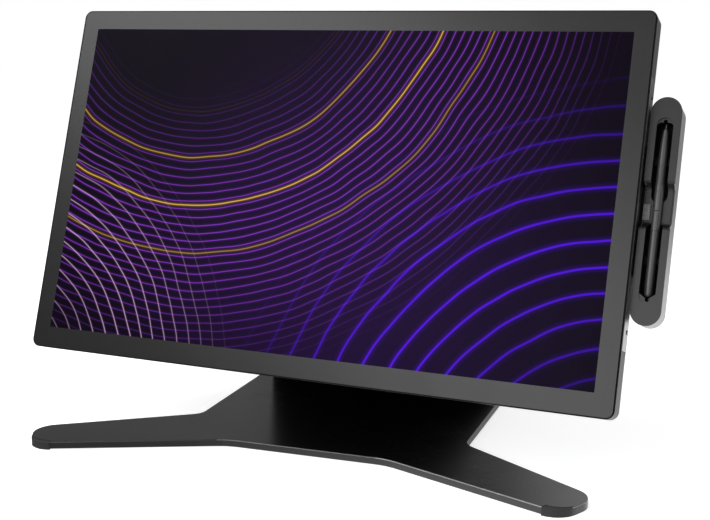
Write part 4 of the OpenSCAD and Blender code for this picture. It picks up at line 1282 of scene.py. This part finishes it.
COATINGS = (
    Coating("etched_glass", grey(0.006), 0.30, 0.30, grain=0.12 * MM, relief=0.001 * MM, drift=0.05),
    Coating("black_foam", grey(0.012), 0.85, 0.2, grain=0.5 * MM, relief=0.03 * MM),
    Coating("case_grey", grey(0.07), 0.42, 0.4, grain=0.25 * MM),
    Coating("lcd", (0.006, 0.004, 0.010, 1.0), 0.2, grain=0.2 * MM, relief=0.001 * MM),
    Coating("diffuser", grey(0.72), 0.5, grain=0.3 * MM),
    Coating("sheet_metal", grey(0.55), 0.36, metallic=1.0, grain=0.4 * MM),
    Coating("board", (0.012, 0.10, 0.045, 1.0), 0.45, grain=1.2 * MM, drift=0.3, drift_size=9 * MM),
    Coating("cover_plastic", grey(0.016), 0.55, 0.4, grain=0.5 * MM, relief=0.02 * MM),
    Coating("screw_steel", grey(0.11), 0.34, metallic=0.9, grain=0.2 * MM),
    Coating("key_plastic", grey(0.045), 0.42, 0.45, grain=0.4 * MM, relief=0.012 * MM),
    Coating("tray_shell", grey(0.52), 0.34, metallic=0.4, grain=0.25 * MM),
    Coating("tray_black", grey(0.010), 0.34, 0.3, grain=0.35 * MM, relief=0.01 * MM),
    Coating("pen_plastic", grey(0.028), 0.32, grain=0.2 * MM),
    Coating("slider_grey", grey(0.14), 0.45, 0.45, grain=0.3 * MM),
    Coating("grip_rubber", grey(0.027), 0.4, 0.45, grain=0.3 * MM, relief=0.01 * MM),
    # Near-black finish painted into the pen slot, bores, gaps, the case's front rim and undersides: painted shade.
    Coating("painted_shade_black", grey(0.002), 0.7, 0.1, grain=0.4 * MM),
    Coating("soft_rubber", grey(0.014), 0.72, 0.3, grain=0.5 * MM, relief=0.03 * MM),
    Coating("stand_black", grey(0.0015), 0.26, 0.39, grain=0.4 * MM, relief=0.006 * MM),
    # Lighter metallic finishes for the plate's front bevel, the second brighter: painted highlight.
    Coating("plate_edge_painted_highlight_dim", grey(0.06), 0.4, metallic=0.3, grain=0.3 * MM),
    Coating("plate_edge_painted_highlight", grey(0.17), 0.4, metallic=0.3, grain=0.3 * MM),
    Coating("riser_black", grey(0.006), 0.46, 0.3, grain=0.4 * MM),
    Coating("bronze", (0.42, 0.27, 0.11, 1.0), 0.35, metallic=1.0, grain=0.2 * MM),
    Coating("glide", grey(0.6), 0.55, 0.4, grain=0.3 * MM),
)


class Wardrobe:
    """Every finish of the part, by the record's material slot."""

    RAIL_LEVEL = 0.48
    RAIL_ROUGHNESS = 0.28

    def __init__(self, axes: PanelAxes) -> None:
        """Builds the finishes.

        Args:
            axes: The screen's axes, along which metal is brushed.
        """
        rail = BrushedMetal("rail_metal", grey(self.RAIL_LEVEL), self.RAIL_ROUGHNESS, axes)
        self.materials = {finish.name: finish.material() for finish in (*COATINGS, rail)}
        self.slots = {part["node"]: part["material_slot"] for part in frame["record"]["subparts"]}
        bodies = frame["record"]["behaviour"]["bodies"]
        self.bodies = {node: body for body, members in bodies.items() for node in members}

    def of(self, node: str) -> Material:
        """The finish of a node."""
        return self.materials[self.slots[node]]

    def dress_all(self) -> None:
        """Gives every node its finish."""
        for name, node in frame["nodes"].items():
            node.data.materials.clear()
            node.data.materials.append(self.of(name))

    def ease(self, edges: dict[str, float], inlays: dict[str, str] | None = None) -> None:
        """Replaces nodes by copies with rounded edges.

        Args:
            edges: Edge radii in millimetres, by node.
            inlays: Nodes that are let into others, by the node that holds them.
        """
        for node, edge in edges.items():
            piece = EasedPart(node, edge * MM, (inlays or {}).get(node, "")).build(self.of(node))
            settle(piece, self.bodies[node], self.slots[node], node)

    def paint(self, node: str, finish: str, chosen: FaceTest = lambda face: True) -> None:
        """Gives some faces of an eased node another finish, or all of them.

        Args:
            node: The node that the eased copy stands for.
            finish: The other finish's name.
            chosen: Tells which faces get it.
        """
        mesh = bpy.data.objects[f"{node}_eased"].data
        mesh.materials.append(self.materials[finish])
        for face in mesh.polygons:
            if chosen(face):
                face.material_index = len(mesh.materials) - 1

    def fasten(self, node: str, body: str, recess: Recess) -> None:
        """Builds a node's steel screws."""
        ScrewSet(node, body, recess).build(self.materials["screw_steel"], "screw_steel")


@dataclass(frozen=True)
class Display:
    """The screen's case, glass, picture and rear parts."""

    EDGES = {"cover_glass": 0.35, "mid_frame": 0.3, "rear_cover": 0.5, "side_rail_left": 0.25,
             "side_rail_right": 0.25, "port_block": 0.2, "power_button": 0.4}
    RAILS = ("side_rail_left", "side_rail_right")

    key_edge: float = 0.4
    front: float = 0.3
    across: float = 0.9
    margin: float = 0.6 * MM
    sunk: float = 0.3 * MM

    def gets_painted_shade(self, axes: PanelAxes, low: Vector, high: Vector, face: MeshPolygon) -> bool:
        """Whether a face of a rail gets painted shade: in one of its bores, in the recess round it or at the
        rail's end.

        Args:
            axes: The screen's axes.
            low: Lowest corner of the rail on the screen's axes.
            high: Highest corner.
            face: The face.

        Returns:
            True for the faces that get painted shade.
        """
        spot = face.center - axes.origin
        inside = low.y + self.margin < spot.dot(axes.v) < high.y - self.margin
        behind = low.z + self.margin < spot.dot(axes.n) < high.z - self.margin
        sunk = low.x + self.sunk < spot.dot(axes.u) < high.x - self.sunk
        return not inside or behind and (sunk or abs(face.normal.dot(axes.u)) < self.across)

    def build(self, axes: PanelAxes, wardrobe: Wardrobe) -> None:
        """Builds the case's looks.

        Args:
            axes: The screen's axes.
            wardrobe: The finishes.
        """
        keys = {node: self.key_edge for node in frame["nodes"] if node.startswith("rear_key")}
        wardrobe.ease(self.EDGES | keys)
        # The case's front rim round the glass is painted near black: painted shade of the narrow gap round the
        # glass.
        wardrobe.paint("mid_frame", "painted_shade_black", lambda face: face.normal.dot(axes.n) > self.front)
        # Bores, their recesses and the rails' ends are painted near black: painted shade.
        for rail in self.RAILS:
            low, high = axes.extent(frame["nodes"][rail])
            wardrobe.paint(rail, "painted_shade_black", lambda face: self.gets_painted_shade(axes, low, high, face))
        Screen().build(axes, PICTURE.material())
        wardrobe.fasten("case_screws", "panel", Recess.CROSS)
        wardrobe.fasten("mount_screws", "panel", Recess.HEX)
        SocketShells().build(axes, wardrobe.materials["sheet_metal"])


@dataclass(frozen=True)
class PenTray:
    """The tray on the right side, its slider and the pen in it."""

    EDGES = {"tray_body": 0.5, "tray_insert": 0.25, "pen_cradles": 0.4, "tray_bracket": 0.3}
    PEN_EDGES = {"pen_nose": 0.12, "pen_grip": 0.1, "pen_barrel": 0.12, "pen_tail": 0.25, "pen_nib": 0.1,
                 "pen_switch_front": 0.15, "pen_switch_rear": 0.15}

    slot_half: float = 7.6 * MM
    rim: float = 1.3 * MM
    floor: float = 9.5 * MM
    steep: float = 0.7
    front: float = 0.35

    def in_slot(self, axes: PanelAxes, low: Vector, high: Vector, face: MeshPolygon) -> bool:
        """Whether a face of the insert is inside the pen slot.

        Args:
            axes: The screen's axes.
            low: Lowest corner of the insert on the screen's axes.
            high: Highest corner.
            face: The face.

        Returns:
            True for the walls and the floor of the slot, which are painted near black as painted shade.
        """
        spot = face.center - axes.origin
        deep = high.z - spot.dot(axes.n)
        inside = abs(spot.dot(axes.u) - (low.x + high.x) / 2) < self.slot_half and deep > self.rim
        return inside and (face.normal.dot(axes.n) < self.steep or deep > self.floor)

    def build(self, axes: PanelAxes, wardrobe: Wardrobe) -> None:
        """Builds the tray's and the pen's looks.

        Args:
            axes: The screen's axes.
            wardrobe: The finishes.
        """
        wardrobe.ease(self.EDGES | self.PEN_EDGES)
        low, high = axes.extent(frame["nodes"]["tray_insert"])
        # The slot's walls and floor are painted near black: painted shade.
        wardrobe.paint("tray_insert", "painted_shade_black", lambda face: self.in_slot(axes, low, high, face))
        # The cradles deep in the slot are painted near black: painted shade.
        wardrobe.paint("pen_cradles", "painted_shade_black")
        # The bracket in the gap between tray and case is painted near black: painted shade of the gap.
        wardrobe.paint("tray_bracket", "painted_shade_black")
        wardrobe.paint("pen_grip", "grip_rubber")
        wardrobe.paint("tray_body", "tray_black", lambda face: face.normal.dot(axes.n) > self.front)
        # The tray's side that faces the case is painted near black: painted shade of the gap between them.
        wardrobe.paint("tray_body", "painted_shade_black", lambda face: face.normal.dot(axes.u) < -self.steep)
        TraySlider().build(axes, wardrobe.materials["slider_grey"])


@dataclass(frozen=True)
class Stand:
    """The plate on the table, the riser and the head."""

    EDGES = {"base_plate": 1.2, "leg_feet": 0.4, "rear_feet": 0.4, "riser": 1.2, "riser_cover": 0.4,
             "head_cap": 0.4, "yoke": 0.8, "axle_caps": 0.6, "mount_plate": 0.6}
    INLAYS = {"base_plate": "leg_feet"}
    # Painted highlight on the plate's front bevel: a dim one from x = -100 mm, a brighter one from x = 40 mm.
    PAINTED_EDGE_HIGHLIGHTS = {"plate_edge_painted_highlight_dim": -100 * MM, "plate_edge_painted_highlight": 40 * MM}

    upright: float = 0.25
    level: float = 0.95
    ahead: float = -0.2
    aside: float = 0.3

    def on_front_edge(self, face: MeshPolygon) -> bool:
        """Whether a face is on the rounded upper edge at the plate's front."""
        return self.upright < face.normal.z < self.level and face.normal.y < self.ahead

    def build(self, wardrobe: Wardrobe) -> None:
        """Builds the stand's looks.

        Args:
            wardrobe: The finishes.
        """
        wardrobe.ease(self.EDGES, self.INLAYS)
        # Paints the highlight along the front bevel, stronger towards the right.
        for finish, bend in self.PAINTED_EDGE_HIGHLIGHTS.items():
            wardrobe.paint("base_plate", finish,
                           lambda face: self.on_front_edge(face) and face.center.x > bend)
        # The plate's underside is painted near black: painted shade under it.
        wardrobe.paint("base_plate", "painted_shade_black", lambda face: face.normal.z < -self.upright)
        wardrobe.paint("base_plate", "riser_black",
                       lambda face: abs(face.normal.z) < self.upright and face.normal.x > self.aside)
        wardrobe.fasten("cover_screws", "stand", Recess.CROSS)
        wardrobe.fasten("riser_screws", "stand", Recess.HEX)


def main() -> None:
    """Builds the dressed part and its studio."""
    logging.basicConfig(level=logging.INFO, format="%(name)s: %(message)s")
    bpy.context.scene.view_settings.view_transform = "Standard"
    axes = PanelAxes.from_frame(frame["nodes"], frame["joints"])
    view = Viewpoint()
    view.build()
    wardrobe = Wardrobe(axes)
    wardrobe.dress_all()
    Display().build(axes, wardrobe)
    PenTray().build(axes, wardrobe)
    Stand().build(wardrobe)
    Studio().build(axes, view)


if __name__ == "__main__":
    main()
